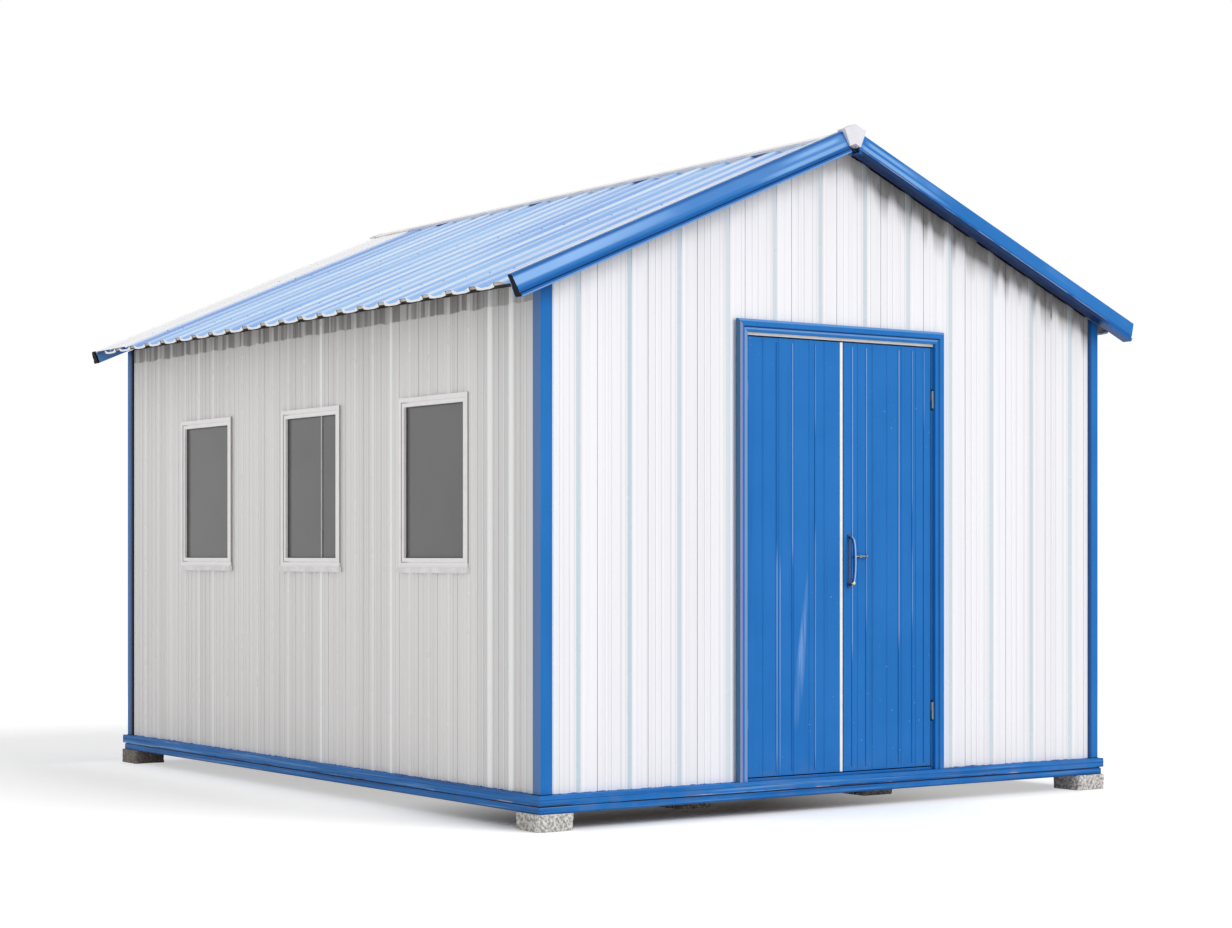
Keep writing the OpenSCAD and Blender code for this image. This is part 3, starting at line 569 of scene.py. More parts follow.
def post_finish(node_names):
    finish = blue_coat("blue_lacquer", ALONG_Z)
    x, y, z = finish.axes()
    # painted shade: the left sides, the tops under the eaves and dark lines in the gaps beside the wall
    shaded = finish.facing()[0].step(-0.5, -0.8)
    finish.coat(shaded * (y.step(0.5, -0.5) * 0.42 + 0.08), POST_SHADE)
    finish.coat(z.step(*POST_TOP) * (1 - shaded) * 0.5, NAVY)
    finish.coat(y.band(*REAR_LINE_Y) * x.step(-1.5, -1.6) * 0.9, REAR_LINE_SHADE)
    finish.coat(x.band(*RIGHT_LINE_X) * y.step(-2.0, -2.1) * 0.8, NAVY)
    finish.wear(node_names)
    return finish


rails = [name for name in by_slot["blue_paint"] if name.endswith("base_rail")]
purlins = [name for name in by_slot["blue_paint"] if name.endswith("purlins")]
door_trim = ["door_head", "left_door_jamb", "right_door_jamb"]
front_verges = ["front_left_verge", "front_right_verge"]
handles = ["pull_handle"]
apart = rails + purlins + door_trim + front_verges + handles
lacquer = post_finish([name for name in by_slot["blue_paint"] if name not in apart])

# %% [markdown]
# Rails are brushed by hand: streaks run lengthwise, the lower fold has gathered dirt, and the step's
# edge is bare in places and dirty in others. The upper fold and the foot get painted shade, and the upper
# edge is scuffed and carries a painted highlight. Heights tell folds and edges apart, and a slow noise
# along the rail breaks each line, so none looks ruled.

# %% Rails
RAIL_DARK = (0.008, 0.07, 0.26)
RAIL_PALE = (0.17, 0.38, 0.72)
LOW_FOLD_Z = (0.1035, 0.106, 0.1095, 0.112)
LOW_FOLD = (0.055, 0.033, 0.040)
STEP_EDGE_Z = (0.1100, 0.1115, 0.1150, 0.1170)
STEP_BARE = (0.46, 0.38, 0.42)
STEP_DIRTY = (0.035, 0.025, 0.040)
HIGH_FOLD_Z = (0.1335, 0.135, 0.136, 0.1375)
SCUFF_HIGHLIGHT_EDGE_Z = (0.1465, 0.148, 0.151, 0.153)
SCUFF_HIGHLIGHT_PALE = (0.55, 0.66, 0.80)
RAIL_FOOT_Z = (0.084, 0.077)


def rail_finish(node_names):
    finish = blue_coat("rail_lacquer", ALONG_RAIL, 0.34)
    z = finish.axes()[2]
    brush = finish.noise(1.0, 2.0, 0.6, (0.8, 0.8, 62.0))
    broken = finish.noise(1.0, 3.0, 0.6, (2.1, 2.1, 3.0))
    bare = finish.noise(1.0, 3.0, 0.6, (3.3, 3.3, 0.0))
    edge = z.band(*STEP_EDGE_Z)
    finish.coat(brush.step(0.54, 0.66) * 0.6, RAIL_DARK)
    finish.coat(brush.step(0.45, 0.35) * 0.65, RAIL_PALE)
    finish.coat(z.band(*LOW_FOLD_Z) * broken.step(0.32, 0.46) * 0.9, LOW_FOLD)
    finish.coat(edge * bare.step(0.56, 0.63) * 0.7, STEP_BARE)
    finish.coat(edge * bare.step(0.46, 0.38) * 0.7, STEP_DIRTY)
    # painted shade in the upper fold
    finish.coat(z.band(*HIGH_FOLD_Z) * broken.step(0.6, 0.45) * 0.8, NAVY)
    # scuffed pale, and a painted highlight along the upper edge
    finish.coat(z.band(*SCUFF_HIGHLIGHT_EDGE_Z) * broken.step(0.58, 0.70) * 0.55, SCUFF_HIGHLIGHT_PALE)
    # painted shade along the rail's foot
    finish.coat(z.step(*RAIL_FOOT_Z) * 0.7, NAVY)
    finish.wear(node_names)


rail_finish(rails)

# %% [markdown]
# The front verge trims have painted highlights on the leaning upper face, a painted shade band low on
# the face with a wavy edge, a broken painted highlight over it and a painted shade line in the groove. On
# the left trim a painted shade line runs along the top and a painted highlight along the lip. All of
# these run along the slope, so they are bands of the height over the sheets.

# %% Front verges
VERGE_GLINT = (0.30, 0.54, 0.92)
VERGE_LOW_SHADE = (0.010, 0.085, 0.33)
VERGE_LINE_SHADE = (0.008, 0.07, 0.27)
VERGE_LIP_HIGHLIGHT = (0.34, 0.58, 0.94)
VERGE_SHADE_DARK = (0.005, 0.022, 0.080)
VERGE_EDGE_HIGHLIGHT = (0.42, 0.48, 0.56)


def verge_finish(node_names):
    finish = blue_coat("verge_lacquer", ALONG_VERGE, 0.24)
    x, _, z = finish.axes()
    over = over_sheet(x, z)
    wavy = (finish.noise(1.0, 3.0, 0.6, (9.0, 9.0, 0.0)) - 0.5) * 0.012
    sheen = finish.noise(1.0, 2.0, 0.5, (2.6, 2.6, 2.6))
    # painted highlights on the leaning upper face
    upper = over.band(-0.012, 0.004, 0.022, 0.036) * (sheen.step(0.40, 0.62) * 0.22)
    lower_glint = over.band(-0.036, -0.028, -0.018, -0.008) * abs(x).band(0.02, 0.07, 0.35, 0.65)
    upper_glint = over.band(-0.004, 0.006, 0.014, 0.024) * abs(x).band(0.06, 0.12, 0.25, 0.50)
    finish.coat(upper.above(lower_glint * 0.6).above(upper_glint * 0.6), VERGE_GLINT)
    # painted shade band low on the face
    finish.coat((over + wavy).step(-0.030, -0.036) * 0.5, VERGE_LOW_SHADE)
    left = x.step(0.0, -0.05)
    # left trim: a painted shade line along the top, painted highlights on the face and on the lip
    finish.coat(left * over.band(0.026, 0.030, 0.034, 0.038) * 0.6, VERGE_LINE_SHADE)
    painted_shading = left * over.band(-0.020, -0.008, 0.018, 0.028) * (x.step(-0.9, -1.6) * 0.6 + 0.12)
    finish.coat(painted_shading, VERGE_GLINT)
    finish.coat(left * over.band(-0.066, -0.063, -0.060, -0.057) * 0.5, VERGE_LIP_HIGHLIGHT)
    # painted shade low on the face, a broken painted highlight over it and a painted shade line in the
    # groove
    shaded_span = x.band(0.02, 0.05, 1.60, 1.70)
    finish.coat(shaded_span * (over + wavy * 0.4).step(-0.040, -0.044) * 0.92, VERGE_SHADE_DARK)
    edge = (over + wavy * 0.4).band(-0.0425, -0.0405, -0.0385, -0.0365)
    broken = finish.noise(1.0, 3.0, 0.6, (7.0, 7.0, 0.0)).step(0.35, 0.60)
    finish.coat(shaded_span * edge * broken * 0.6, VERGE_EDGE_HIGHLIGHT)
    finish.coat(over.band(-0.0505, -0.0495, -0.0475, -0.0465) * 0.7, NAVY)
    finish.wear(node_names)


verge_finish(front_verges)

# %% [markdown]
# The trim round the doorway is folded sheet: each fold gets its own painted highlight and painted shade
# bands, running along its bar. The distance out from the doorway says which fold a point lies on, and the
# larger distance says which bar it is.

# %% Door trim
DOOR_HALF = 0.570
DOOR_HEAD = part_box("door_head_seal")[1][2]
MITRE = (-0.001, 0.001)


def door_trim_finish(node_names):
    finish = blue_coat("door_frame_lacquer", ALONG_Z)
    x, _, z = finish.axes()
    out = -1.0 * x - DOOR_HALF
    rise = z - DOOR_HEAD
    jamb = (out - rise).step(*MITRE) * x.step(0.0, -0.1)
    # painted shading of the folds: dark and pale bands on the jamb, highlight and shade lines on the head, a
    # highlight on the right jamb
    finish.coat(jamb * out.band(0.047, 0.049, 0.057, 0.061), (0.055, 0.14, 0.24))
    finish.coat(jamb * out.band(0.032, 0.035, 0.045, 0.048) * 0.9, (0.28, 0.28, 0.43))
    finish.coat(jamb * out.band(-0.003, 0.0, 0.015, 0.018) * 0.9, (0.23, 0.34, 0.58))
    head = (rise - abs(x) + DOOR_HALF).step(*MITRE)
    finish.coat(head * rise.band(0.045, 0.049, 0.055, 0.060) * 0.6, (0.16, 0.38, 0.76))
    finish.coat(head * rise.band(0.010, 0.013, 0.018, 0.021) * 0.6, (0.24, 0.45, 0.80))
    finish.coat(head * rise.band(0.022, 0.0235, 0.026, 0.028) * 0.8, (0.008, 0.06, 0.24))
    finish.coat((x - DOOR_HALF).band(0.046, 0.050, 0.055, 0.060) * 0.5, (0.14, 0.36, 0.74))
    finish.wear(node_names)


door_trim_finish(door_trim)

# %% [markdown]
# The handle has a painted highlight along its right side, and painted shade along its left side and on
# the plate and feet next to the leaf.

# %% Handle lacquer
HANDLE_HIGHLIGHT = (0.40, 0.56, 0.84)


def handle_finish(node_names):
    finish = blue_coat("handle_lacquer", ALONG_Z, 0.18)
    sideways = finish.facing()[0]
    leaf_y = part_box("pull_handle")[1][1]
    # painted highlight on the right side, painted shade on the left side and next to the leaf
    finish.coat(sideways.step(-0.40, 0.05) * 0.85, HANDLE_HIGHLIGHT)
    finish.coat(sideways.step(-0.30, -0.70) * 0.85, NAVY)
    finish.coat(finish.axes()[1].step(leaf_y - 0.008, leaf_y - 0.004) * 0.85, NAVY)
    finish.wear(node_names)
    return finish


handle_coat = handle_finish(handles)

# %% [markdown]
# The leaves have the same blue, with one long pale streak down the left leaf: a painted highlight drawn
# as a scuff. Slim beads on the leaves are rubbed pale, unevenly along each bead, and the pale also paints
# their highlights. Both marks are formulas in x and z, so they swing with the leaves.

# %% Door lacquer
SCUFF_HIGHLIGHT_X = -0.240
SCUFF_HIGHLIGHT_Z = 0.74
SCUFF_HIGHLIGHT_HALF = 0.38            # half its height
SCUFF_HIGHLIGHT_LEAN = 0.10
BEAD_HALF = (0.0055, 0.006)
BEAD_FADE = 0.15
BEAD_RUBS_AND_HIGHLIGHTS = ((-0.388, 0.30, 1.10, 0.75), (-0.370, 0.30, 1.05, 0.6), (-0.296, 1.25, 2.15, 0.75),
             (-0.161, 0.30, 1.20, 0.5), (-0.161, 1.85, 2.15, 0.4), (0.063, 1.30, 2.15, 0.75),
             (0.063, 0.80, 1.00, 0.65), (0.149, 0.95, 2.15, 0.85), (0.352, 0.85, 2.15, 0.8),
             (0.437, 1.50, 2.15, 0.65), (0.437, 0.95, 1.12, 0.5), (0.511, 1.90, 2.15, 0.4))


def door_finish():
    finish = blue_coat("door_lacquer", ALONG_Z, 0.34)
    x, _, z = finish.axes()
    upright = (z - SCUFF_HIGHLIGHT_Z) / SCUFF_HIGHLIGHT_HALF
    across = (x - SCUFF_HIGHLIGHT_X - (z - SCUFF_HIGHLIGHT_Z) * SCUFF_HIGHLIGHT_LEAN) / (0.026 - upright * 0.013)
    scuff_highlight = (1 - across * across - upright * upright).above(0.0)
    hairs = finish.noise(1.0, 3.0, 0.5, (60.0, 1.0, 3.0)).step(0.3, 0.7)
    # painted highlight, drawn as a scuff
    finish.coat(scuff_highlight * hairs * 0.75, (0.22, 0.40, 0.72))
    specks = finish.cells(21.0).step(0.075, 0.045) * finish.noise(1.7).step(0.52, 0.60)
    finish.coat(specks * 0.5, (0.35, 0.50, 0.75))
    finish.wear(by_slot["door_blue"])


def bead_finish():
    """Each row of BEAD_RUBS_AND_HIGHLIGHTS has a bead's place, the range of heights that is rubbed pale and
    painted as a highlight, and how much.
    """
    finish = blue_coat("rubbed_highlight_bead", ALONG_Z, 0.34)
    x, _, z = finish.axes()
    rub_and_highlight = finish.noise(1.0, 2.0, 0.5, (23.0, 1.0, 0.75)).step(0.30, 0.56) * 0.5 + 0.5
    pale = 0.0
    for place, low, high, amount in BEAD_RUBS_AND_HIGHLIGHTS:
        here = abs(x - place).step(BEAD_HALF[1], BEAD_HALF[0])
        pale = (here * z.band(low - BEAD_FADE, low, high, high + BEAD_FADE) * amount).above(pale)
    # rubbed pale, and painted highlights on the beads
    finish.coat(pale * rub_and_highlight, (0.25, 0.43, 0.77))
    return finish


door_finish()
bead_coat = bead_finish()

# %% [markdown]
# The roof sheets have a thin glossy blue, painted pale sky blue in patches as a painted reflection of the
# sky. The place within a bay tells crest from valley: one shoulder of each rib gets a painted highlight,
# the other painted shade, and a slow noise makes some ribs stronger than others. The last bays at the
# rear are a deeper blue, and the back of the sheets is painted dark as painted shade.

# %% Roof lacquer
ROOF_MID = (0.14, 0.375, 0.85)
ROOF_REFLECTION_PALE = (0.32, 0.585, 0.95)
ROOF_HIGHLIGHT = (0.84, 0.92, 1.0)
ROOF_SHADE = (0.055, 0.25, 0.70)
ROOF_LAST = (0.09, 0.29, 0.72)
ROOF_BACK_SHADE = (0.055, 0.05, 0.05)


def roof_finish():
    finish = Finish("roof_lacquer", ROOF_MID, 0.2)
    y = finish.axes()[1]
    across = (y + sheet_half).repeat(bay)
    clouds = finish.noise(1.0, 4.0, 0.55, (0.8, 3.0, 0.8))
    runs = finish.noise(1.0, 4.0, 0.6, (1.2, 42.0, 1.2))
    by_rib = finish.noise(1.0, 1.0, 0.5, (0.35, 5.0, 0.35))
    every_other = (y + sheet_half).repeat(2 * bay).step(-0.01, 0.01)
    # painted reflection: pale sky blue in patches
    finish.coat(clouds.step(0.30, 0.70), ROOF_REFLECTION_PALE)
    finish.coat(runs.step(0.45, 0.75) * 0.5, ROOF_REFLECTION_PALE)
    # painted shade on one shoulder of each rib
    shadow = across.band(0.010, 0.034, 0.056, 0.084)
    finish.coat(shadow * (by_rib.step(0.35, 0.60) * 0.40 + every_other * 0.15 + 0.10), ROOF_SHADE)
    # painted highlights on the crest and on the other shoulder
    crest = across.band(-0.040, -0.027, 0.010, 0.024)
    finish.coat(crest * (runs.step(0.35, 0.65) * 0.2 + 0.03), ROOF_HIGHLIGHT)
    line = across.band(-0.048, -0.034, -0.018, -0.002)
    finish.coat(line * (by_rib.step(0.60, 0.42) * 0.55 + every_other * 0.2 + 0.02), ROOF_HIGHLIGHT)
    last = y.band(sheet_half - 4.4 * bay, sheet_half - 2.9 * bay, sheet_half - bay, sheet_half)
    finish.coat(last * 0.75, ROOF_LAST)
    # painted shade on the back of the sheets
    back = finish.facing()[2].step(-0.2, -0.5)
    finish.coat(back, ROOF_BACK_SHADE)
    finish.set("Roughness", 0.20 + clouds * 0.12 + back * 0.4)
    finish.bump(finish.noise(7.0, 3.0), 0.08, 0.004)
    finish.wear(by_slot["roof_blue"])
    return finish


roof_coat = roof_finish()

# %% [markdown]
# The small finishes: white trim with grey smears, chalky seals, dark glass, black plastic, zinc, brass,
# primer and floor board. Each has at least one slow and one fine variation, so that none looks like a
# flat colour. The ridge ends and the glazing bar get a darker copy of the white trim as painted shade.
# The rear verges are white with a blue side towards the roof, and the hinges of the left leaf are
# painted over.

# %% Small finishes
REAR_WHITE = (0.98, 0.985, 1.0)
REAR_DULL = (0.94, 0.945, 0.97)
VERGE_INNER = (0.13, 0.35, 0.78)
ZINC_PALE = (0.31, 0.31, 0.33)
ZINC_DARK = (0.20, 0.19, 0.20)
ZINC_METAL = 0.9
WOOD_GRAIN = (2.0, 40.0, 40.0)


def simple_finish(name, first, second, scale, roughness, parts=(), metallic=0.0, stretch=None):
    """Two colours mixed by a cloud, with the roughness following the same cloud."""
    finish = Finish(name, first, roughness, metallic)
    cloud = finish.noise(scale, 6.0, 0.6, stretch)
    finish.coat(cloud.step(0.35, 0.75), second)
    finish.set("Roughness", roughness + cloud * 0.15)
    finish.bump(finish.noise(scale * 8, 3.0, 0.6, stretch), 0.06, 0.001)
    if parts:
        finish.wear(parts)
    return finish


windows = ["window_frame_1", "window_frame_2", "window_frame_3"]
ridge_ends = ["front_ridge_end", "rear_ridge_end"]
rear_verges = ["rear_left_verge", "rear_right_verge"]
apart = windows + ridge_ends + rear_verges + ["ridge_cap"]
plain_trim = [name for name in by_slot["trim_white"] if name not in apart]
simple_finish("white_trim", (0.90, 0.90, 0.925), (0.82, 0.815, 0.82), 4.0, 0.34, plain_trim)
simple_finish("ridge_cap_white", (1.0, 0.965, 0.945), (0.93, 0.89, 0.87), 5.0, 0.4, ["ridge_cap"])
# painted shade: a darker copy of the white trim for the ridge ends and the glazing bar
shaded_white = simple_finish("ridge_end_shaded_white", (0.77, 0.76, 0.81), (0.70, 0.69, 0.73), 9.0, 0.4, ridge_ends)
seals_white = by_slot["seal_white"]
seal = simple_finish("white_seal", (0.92, 0.89, 0.885), (0.84, 0.80, 0.79), 14.0, 0.55, seals_white)
simple_finish("grey_glass", (0.132,) * 3, (0.112,) * 3, 1.4, 0.05, by_slot["glass"])
simple_finish("purlin_primer", (0.17, 0.155, 0.145), (0.11, 0.10, 0.095), 9.0, 0.6, purlins)
simple_finish("floor_board", (0.46, 0.34, 0.20), (0.30, 0.20, 0.11), 1.0, 0.55, by_slot["floor_board"],
              stretch=WOOD_GRAIN)
brass = simple_finish("worn_brass", (0.86, 0.72, 0.42), (0.78, 0.62, 0.34), 60.0, 0.22, metallic=1.0)

black_parts = by_slot["black_plastic"]
black = simple_finish("black_plastic", (0.010, 0.007, 0.006), (0.020, 0.015, 0.013), 30.0, 0.6, black_parts)
black.set("Specular IOR Level", 0.12)

rear_white = simple_finish("rear_white", REAR_WHITE, REAR_DULL, 4.0, 0.34)
rear_verge = simple_finish("rear_verge_lacquer", REAR_WHITE, REAR_DULL, 4.0, 0.34, rear_verges)
verge_x, _, verge_z = rear_verge.axes()
below_sheets = over_sheet(verge_x, verge_z).step(0.010, 0.004)
rear_verge.coat(rear_verge.facing()[1].step(-0.3, -0.7) * below_sheets, VERGE_INNER)

zinc = simple_finish("dull_zinc", ZINC_PALE, ZINC_DARK, 45.0, 0.36, by_slot["bare_steel"], ZINC_METAL)
painted = zinc.axes()[0].step(-0.50, -0.52)
speckled = zinc.mix(zinc.noise(45.0), ZINC_PALE, ZINC_DARK)
zinc.set("Base Color", zinc.mix(painted, speckled, BLUE))
zinc.set("Metallic", ZINC_METAL - painted * ZINC_METAL)

# %% [markdown]
# The window frames are white too. A fine line of painted shade runs round each one where the sash meets
# the frame, a painted shadow lies on the frame's outer side that faces the front, the lower bar is paler
# and the sill below it is dusty. The distance from each window's middle says where that is, so one
# material serves all three windows.

# %% Window white
WINDOW_FIRST = -1.255
WINDOW_PITCH = 1.187
WINDOW_HALF = Vector((0, 0.305, 0.3915))
SASH_LINE = 0.0225           # from the frame's edge to the groove round the sash


def window_finish():
    finish = Finish("window_white", (0.97, 0.945, 0.95), 0.4)
    _, y, z = finish.axes()
    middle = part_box("window_frame_1")[1][2] - WINDOW_HALF.z
    off = (y - WINDOW_FIRST + WINDOW_PITCH / 2).repeat(WINDOW_PITCH)
    across = abs(off) - WINDOW_HALF.y + SASH_LINE
    upright = abs(z - middle) - WINDOW_HALF.z + SASH_LINE
    over_sill = z - middle + WINDOW_HALF.z
    dusty = finish.noise(14.0, 5.0)
    finish.coat(dusty.step(0.4, 0.75) * 0.5, (0.86, 0.84, 0.845))
    # painted shade in the groove round the sash
    groove = across.above(upright).band(-0.0035, -0.0020, 0.0020, 0.0035)
    finish.coat(groove * (off.step(0.20, 0.26) * 0.5 + 0.12), (0.24, 0.235, 0.23))
    # painted shadow on the frame's outer side that faces the front
    outer = finish.facing()[1].step(-0.5, -0.8) * across.step(SASH_LINE - 0.005, SASH_LINE - 0.002)
    finish.coat(outer * over_sill.step(-0.001, 0.001) * 0.8, (0.20, 0.19, 0.18))
    finish.coat(over_sill.band(0.0, 0.002, 0.016, 0.020) * 0.7, (0.97, 0.965, 0.96))
    sill = over_sill.step(0.0, -0.002)
    finish.coat(sill * (dusty.step(0.3, 0.6) * 0.3 + 0.15), (0.60, 0.59, 0.58))
    finish.set("Roughness", 0.35 + dusty * 0.2)
    finish.bump(finish.noise(60.0, 3.0), 0.05, 0.001)
    finish.wear(windows)


window_finish()

# %% [markdown]
# Concrete: a pale cement skin over dark grit, with dark pits and a brown stain. The pads at the rear get
# much darker painted shade. Noise makes the grit, and the distance to the nearest cell makes round pits.

# %% Concrete finish
GRIT_DARK = (0.26, 0.24, 0.22)
CEMENT = (0.82, 0.80, 0.77)
PIT_DARK = (0.12, 0.11, 0.10)
STAIN = (0.30, 0.25, 0.20)
REAR_PAD_SHADE = (0.115, 0.08, 0.062)


def concrete_finish():
    finish = Finish("rough_concrete", GRIT_DARK, 0.92)
    grit = finish.noise(70.0, 6.0, 0.7)
    pits = finish.cells(85.0).step(0.30, 0.10)
    finish.coat(grit.step(0.36, 0.62), CEMENT)
    finish.coat(pits * 0.6, PIT_DARK)
    finish.coat(finish.noise(9.0, 4.0).step(0.45, 0.75) * 0.25, STAIN)
    # painted shade: the rear pads are much darker
    finish.coat(finish.axes()[1].step(0.8, 2.0) * 0.75, REAR_PAD_SHADE)
    finish.set("Roughness", 0.85 + grit * 0.12)
    finish.bump(grit - pits * 0.7, 0.7, 0.006)
    finish.wear(by_slot["concrete"])
    return finish


concrete = concrete_finish()

# %% [markdown]
# Helpers for the added pieces. A piece starts as a small bmesh, is shaped with operators, and is poured
# into the bmesh of its group. The group becomes one object at the origin, so patterns and poses treat it
# like a frame part.

# %% Piece helpers
def corners(node_name):
    """A part's lowest and highest corners, as vectors."""
    return [Vector(corner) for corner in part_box(node_name)]


def pour(group, shape, place=None):
    """Moves one shape into a group."""
    if place is not None:
        bmesh.ops.transform(shape, matrix=place, verts=shape.verts)
    mesh = bpy.data.meshes.new("pour")
    shape.to_mesh(mesh)
    shape.free()
    group.from_mesh(mesh)
    bpy.data.meshes.remove(mesh)


def soften(shape, edges, size, segments=2):
    bmesh.ops.bevel(shape, geom=edges, offset=size, offset_type="OFFSET", affect="EDGES",
                    segments=segments, profile=0.5, material=-1)


def cube_between(low, high):
    shape = bmesh.new()
    bmesh.ops.create_cube(shape, size=1)
    bmesh.ops.scale(shape, vec=high - low, verts=shape.verts)
    bmesh.ops.translate(shape, vec=(low + high) / 2, verts=shape.verts)
    return shape


def add_block(group, low, high, rounding=0.0, place=None):
    """Adds a box between two corners, with rounded edges."""
    shape = cube_between(Vector(low), Vector(high))
    if rounding:
        soften(shape, shape.edges[:], rounding)
    pour(group, shape, place)


def add_prism(group, outline, along, place=None):
    """Adds an outline swept along a vector."""
    shape = bmesh.new()
    face = shape.faces.new([shape.verts.new(point) for point in outline])
    swept = bmesh.ops.extrude_face_region(shape, geom=[face])["geom"]
    moved = [item for item in swept if isinstance(item, bmesh.types.BMVert)]
    bmesh.ops.translate(shape, vec=along, verts=moved)
    pour(group, shape, place)


def finish_piece(name, group, finish, body="shed", stands_for=()):
    """Turns a group into an object that rides on a body."""
    bmesh.ops.recalc_face_normals(group, faces=group.faces)
    mesh = bpy.data.meshes.new(name)
    group.to_mesh(mesh)
    group.free()
    mesh.materials.append(finish.material)
    piece = bpy.data.objects.new(name, mesh)
    bpy.context.collection.objects.link(piece)
    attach(piece, body)
    if stands_for:
        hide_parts(*stands_for)
    print(name, "faces:", len(mesh.polygons))


# %% [markdown]
# The pads are cast blocks with rounded uprights and a broken, pitted skin. A box alone has too few points
# to be rough, so planes slice it into a fine grid, and every point then sinks along its normal by a
# noise. Points on the top barely move, because the rail rests there.

# %% Rough pads
PAD_SIDE = 0.190
PAD_ROUND = 0.020
PAD_RIM = 0.004
PAD_DEPTH = 0.0075
PAD_CELLS = {"corner_pads": 0.0075, "inner_pads": 0.015}
TOP_HOLD = 0.12              # share of the roughness that the top and the bottom get


def broken_skin(point):
    """How deep the skin is broken at a point: large chips, small chips and grit."""
    chips = max(0, noise.noise(point * 21) + 0.25) + 0.7 * max(0, noise.noise(point * 60))
    return chips + 0.45 * max(0, noise.noise(point * 150))


def rough_pad(group, low, high, cell):
    shape = cube_between(low, high)
    upright = [edge for edge in shape.edges if abs(edge.verts[0].co.z - edge.verts[1].co.z) > cell]
    soften(shape, upright, PAD_ROUND, 4)
    flat = [edge for edge in shape.edges if abs(edge.verts[0].co.z - edge.verts[1].co.z) < cell]
    soften(shape, flat, PAD_RIM, 1)
    for axis in range(3):
        slices = round((high[axis] - low[axis]) / cell)
        normal = Vector((axis == 0, axis == 1, axis == 2))
        for i in range(1, slices):
            middle = low + normal * (high[axis] - low[axis]) * i / slices
            everything = shape.verts[:] + shape.edges[:] + shape.faces[:]
            bmesh.ops.bisect_plane(shape, geom=everything, plane_co=middle, plane_no=normal)
    shape.normal_update()
    for vert in shape.verts:
        hold = TOP_HOLD if abs(vert.normal.z) > 0.8 else 1.0
        vert.co -= vert.normal * PAD_DEPTH * broken_skin(vert.co) * hold
    pour(group, shape)


for node_name, cell in PAD_CELLS.items():
    pads = bmesh.new()
    low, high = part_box(node_name)
    for x in (low[0], high[0] - PAD_SIDE):
        for y in (low[1], high[1] - PAD_SIDE):
            rough_pad(pads, Vector((x, y, 0)), Vector((x + PAD_SIDE, y + PAD_SIDE, high[2])), cell)
    finish_piece("rough_" + node_name, pads, concrete, stands_for=(node_name,))

# %% [markdown]
# Roof screws sit on the crests along the purlins: a washer and a six-sided head. One screw is made from
# two low cones, and the loop pours a copy at each place, so they all share one object.

# %% Screws
PURLIN = 0.050
PURLIN_GAP = 0.010           # from the ridge to the first purlin
WASHER = (0.0065, 0.0052, 0.0015, 14)      # radius at the foot and at the top, height, sides
HEAD = (0.0042, 0.003864, 0.004, 6)


def add_screw(group, place):
    """A washer and a hexagon head, standing on z = 0."""
    shape = bmesh.new()
    for foot, top, height, sides in (WASHER, HEAD):
        bmesh.ops.create_cone(shape, cap_ends=True, segments=sides, radius1=foot, radius2=top, depth=height,
                              matrix=Matrix.Translation((0, 0, height / 2)))
    pour(group, shape, place)


purlin_lean = PURLIN * math.tan(PITCH)
ridge_line = purlin_lean + PURLIN_GAP + PURLIN / 2
eave_line = -post_low[0] / math.cos(PITCH) - purlin_lean - PURLIN / 2
screws = bmesh.new()
for side in (-1, 1):
    for down in ((ridge_line + eave_line) / 2, eave_line):
        for y in rib_ys[:-1]:
            add_screw(screws, on_slope(side) @ Matrix.Translation((down, y, CREST)))
finish_piece("roof_screws", screws, roof_coat)

# %% [markdown]
# Under the ridge cap's turned-down edge the valleys between ribs are open, so closures fill them: one
# trapezium per valley, swept a little way down the slope. Most are pale sealant, and some are dark blue
# foam that stands in for shaded open valleys as painted shade. The outline comes from the sheet's own
# measures, so the closures fit between the ribs.

# %% Ridge closures
FOAM_D = 0.008
FOAM_PLAY = 0.0006
DARK_EVERY = 5
DARK_FIRST = 2
low_half = (bay - RIB_FOOT) / 2 - FOAM_PLAY
high_half = (bay - RIB_TOP) / 2 - FOAM_PLAY
bottom = SHEET_T + FOAM_PLAY
top = CREST - FOAM_PLAY
valley_outline = [(-low_half, bottom), (low_half, bottom), (high_half, top), (-high_half, top)]
pale_closures = bmesh.new()
dark_closures = bmesh.new()
for side in (-1, 1):
    for i, y in enumerate(rib_ys[:-1]):
        points = [(CAP_WING - FOAM_D, y + bay / 2 + across, up) for across, up in valley_outline]
        group = dark_closures if i % DARK_EVERY == DARK_FIRST else pale_closures
        add_prism(group, points, (FOAM_D, 0, 0), on_slope(side))
finish_piece("ridge_closures", pale_closures, seal)
# painted shade: dark blue foam stands in for shaded open valleys and for the shade under the right eave
shade_dark_foam = simple_finish("shade_dark_foam", (0.07, 0.15, 0.36), (0.12, 0.17, 0.30), 9.0, 0.9)
finish_piece("ridge_foam", dark_closures, shade_dark_foam)

# %% [markdown]
# The sheets' lower ends are folded down into white drip lips, one for each valley and the shoulders
# beside it. The outline follows the sheet, so only the middle of each rib stays open. The lips end at the
# rear wall, because past it the apron covers the sheet.

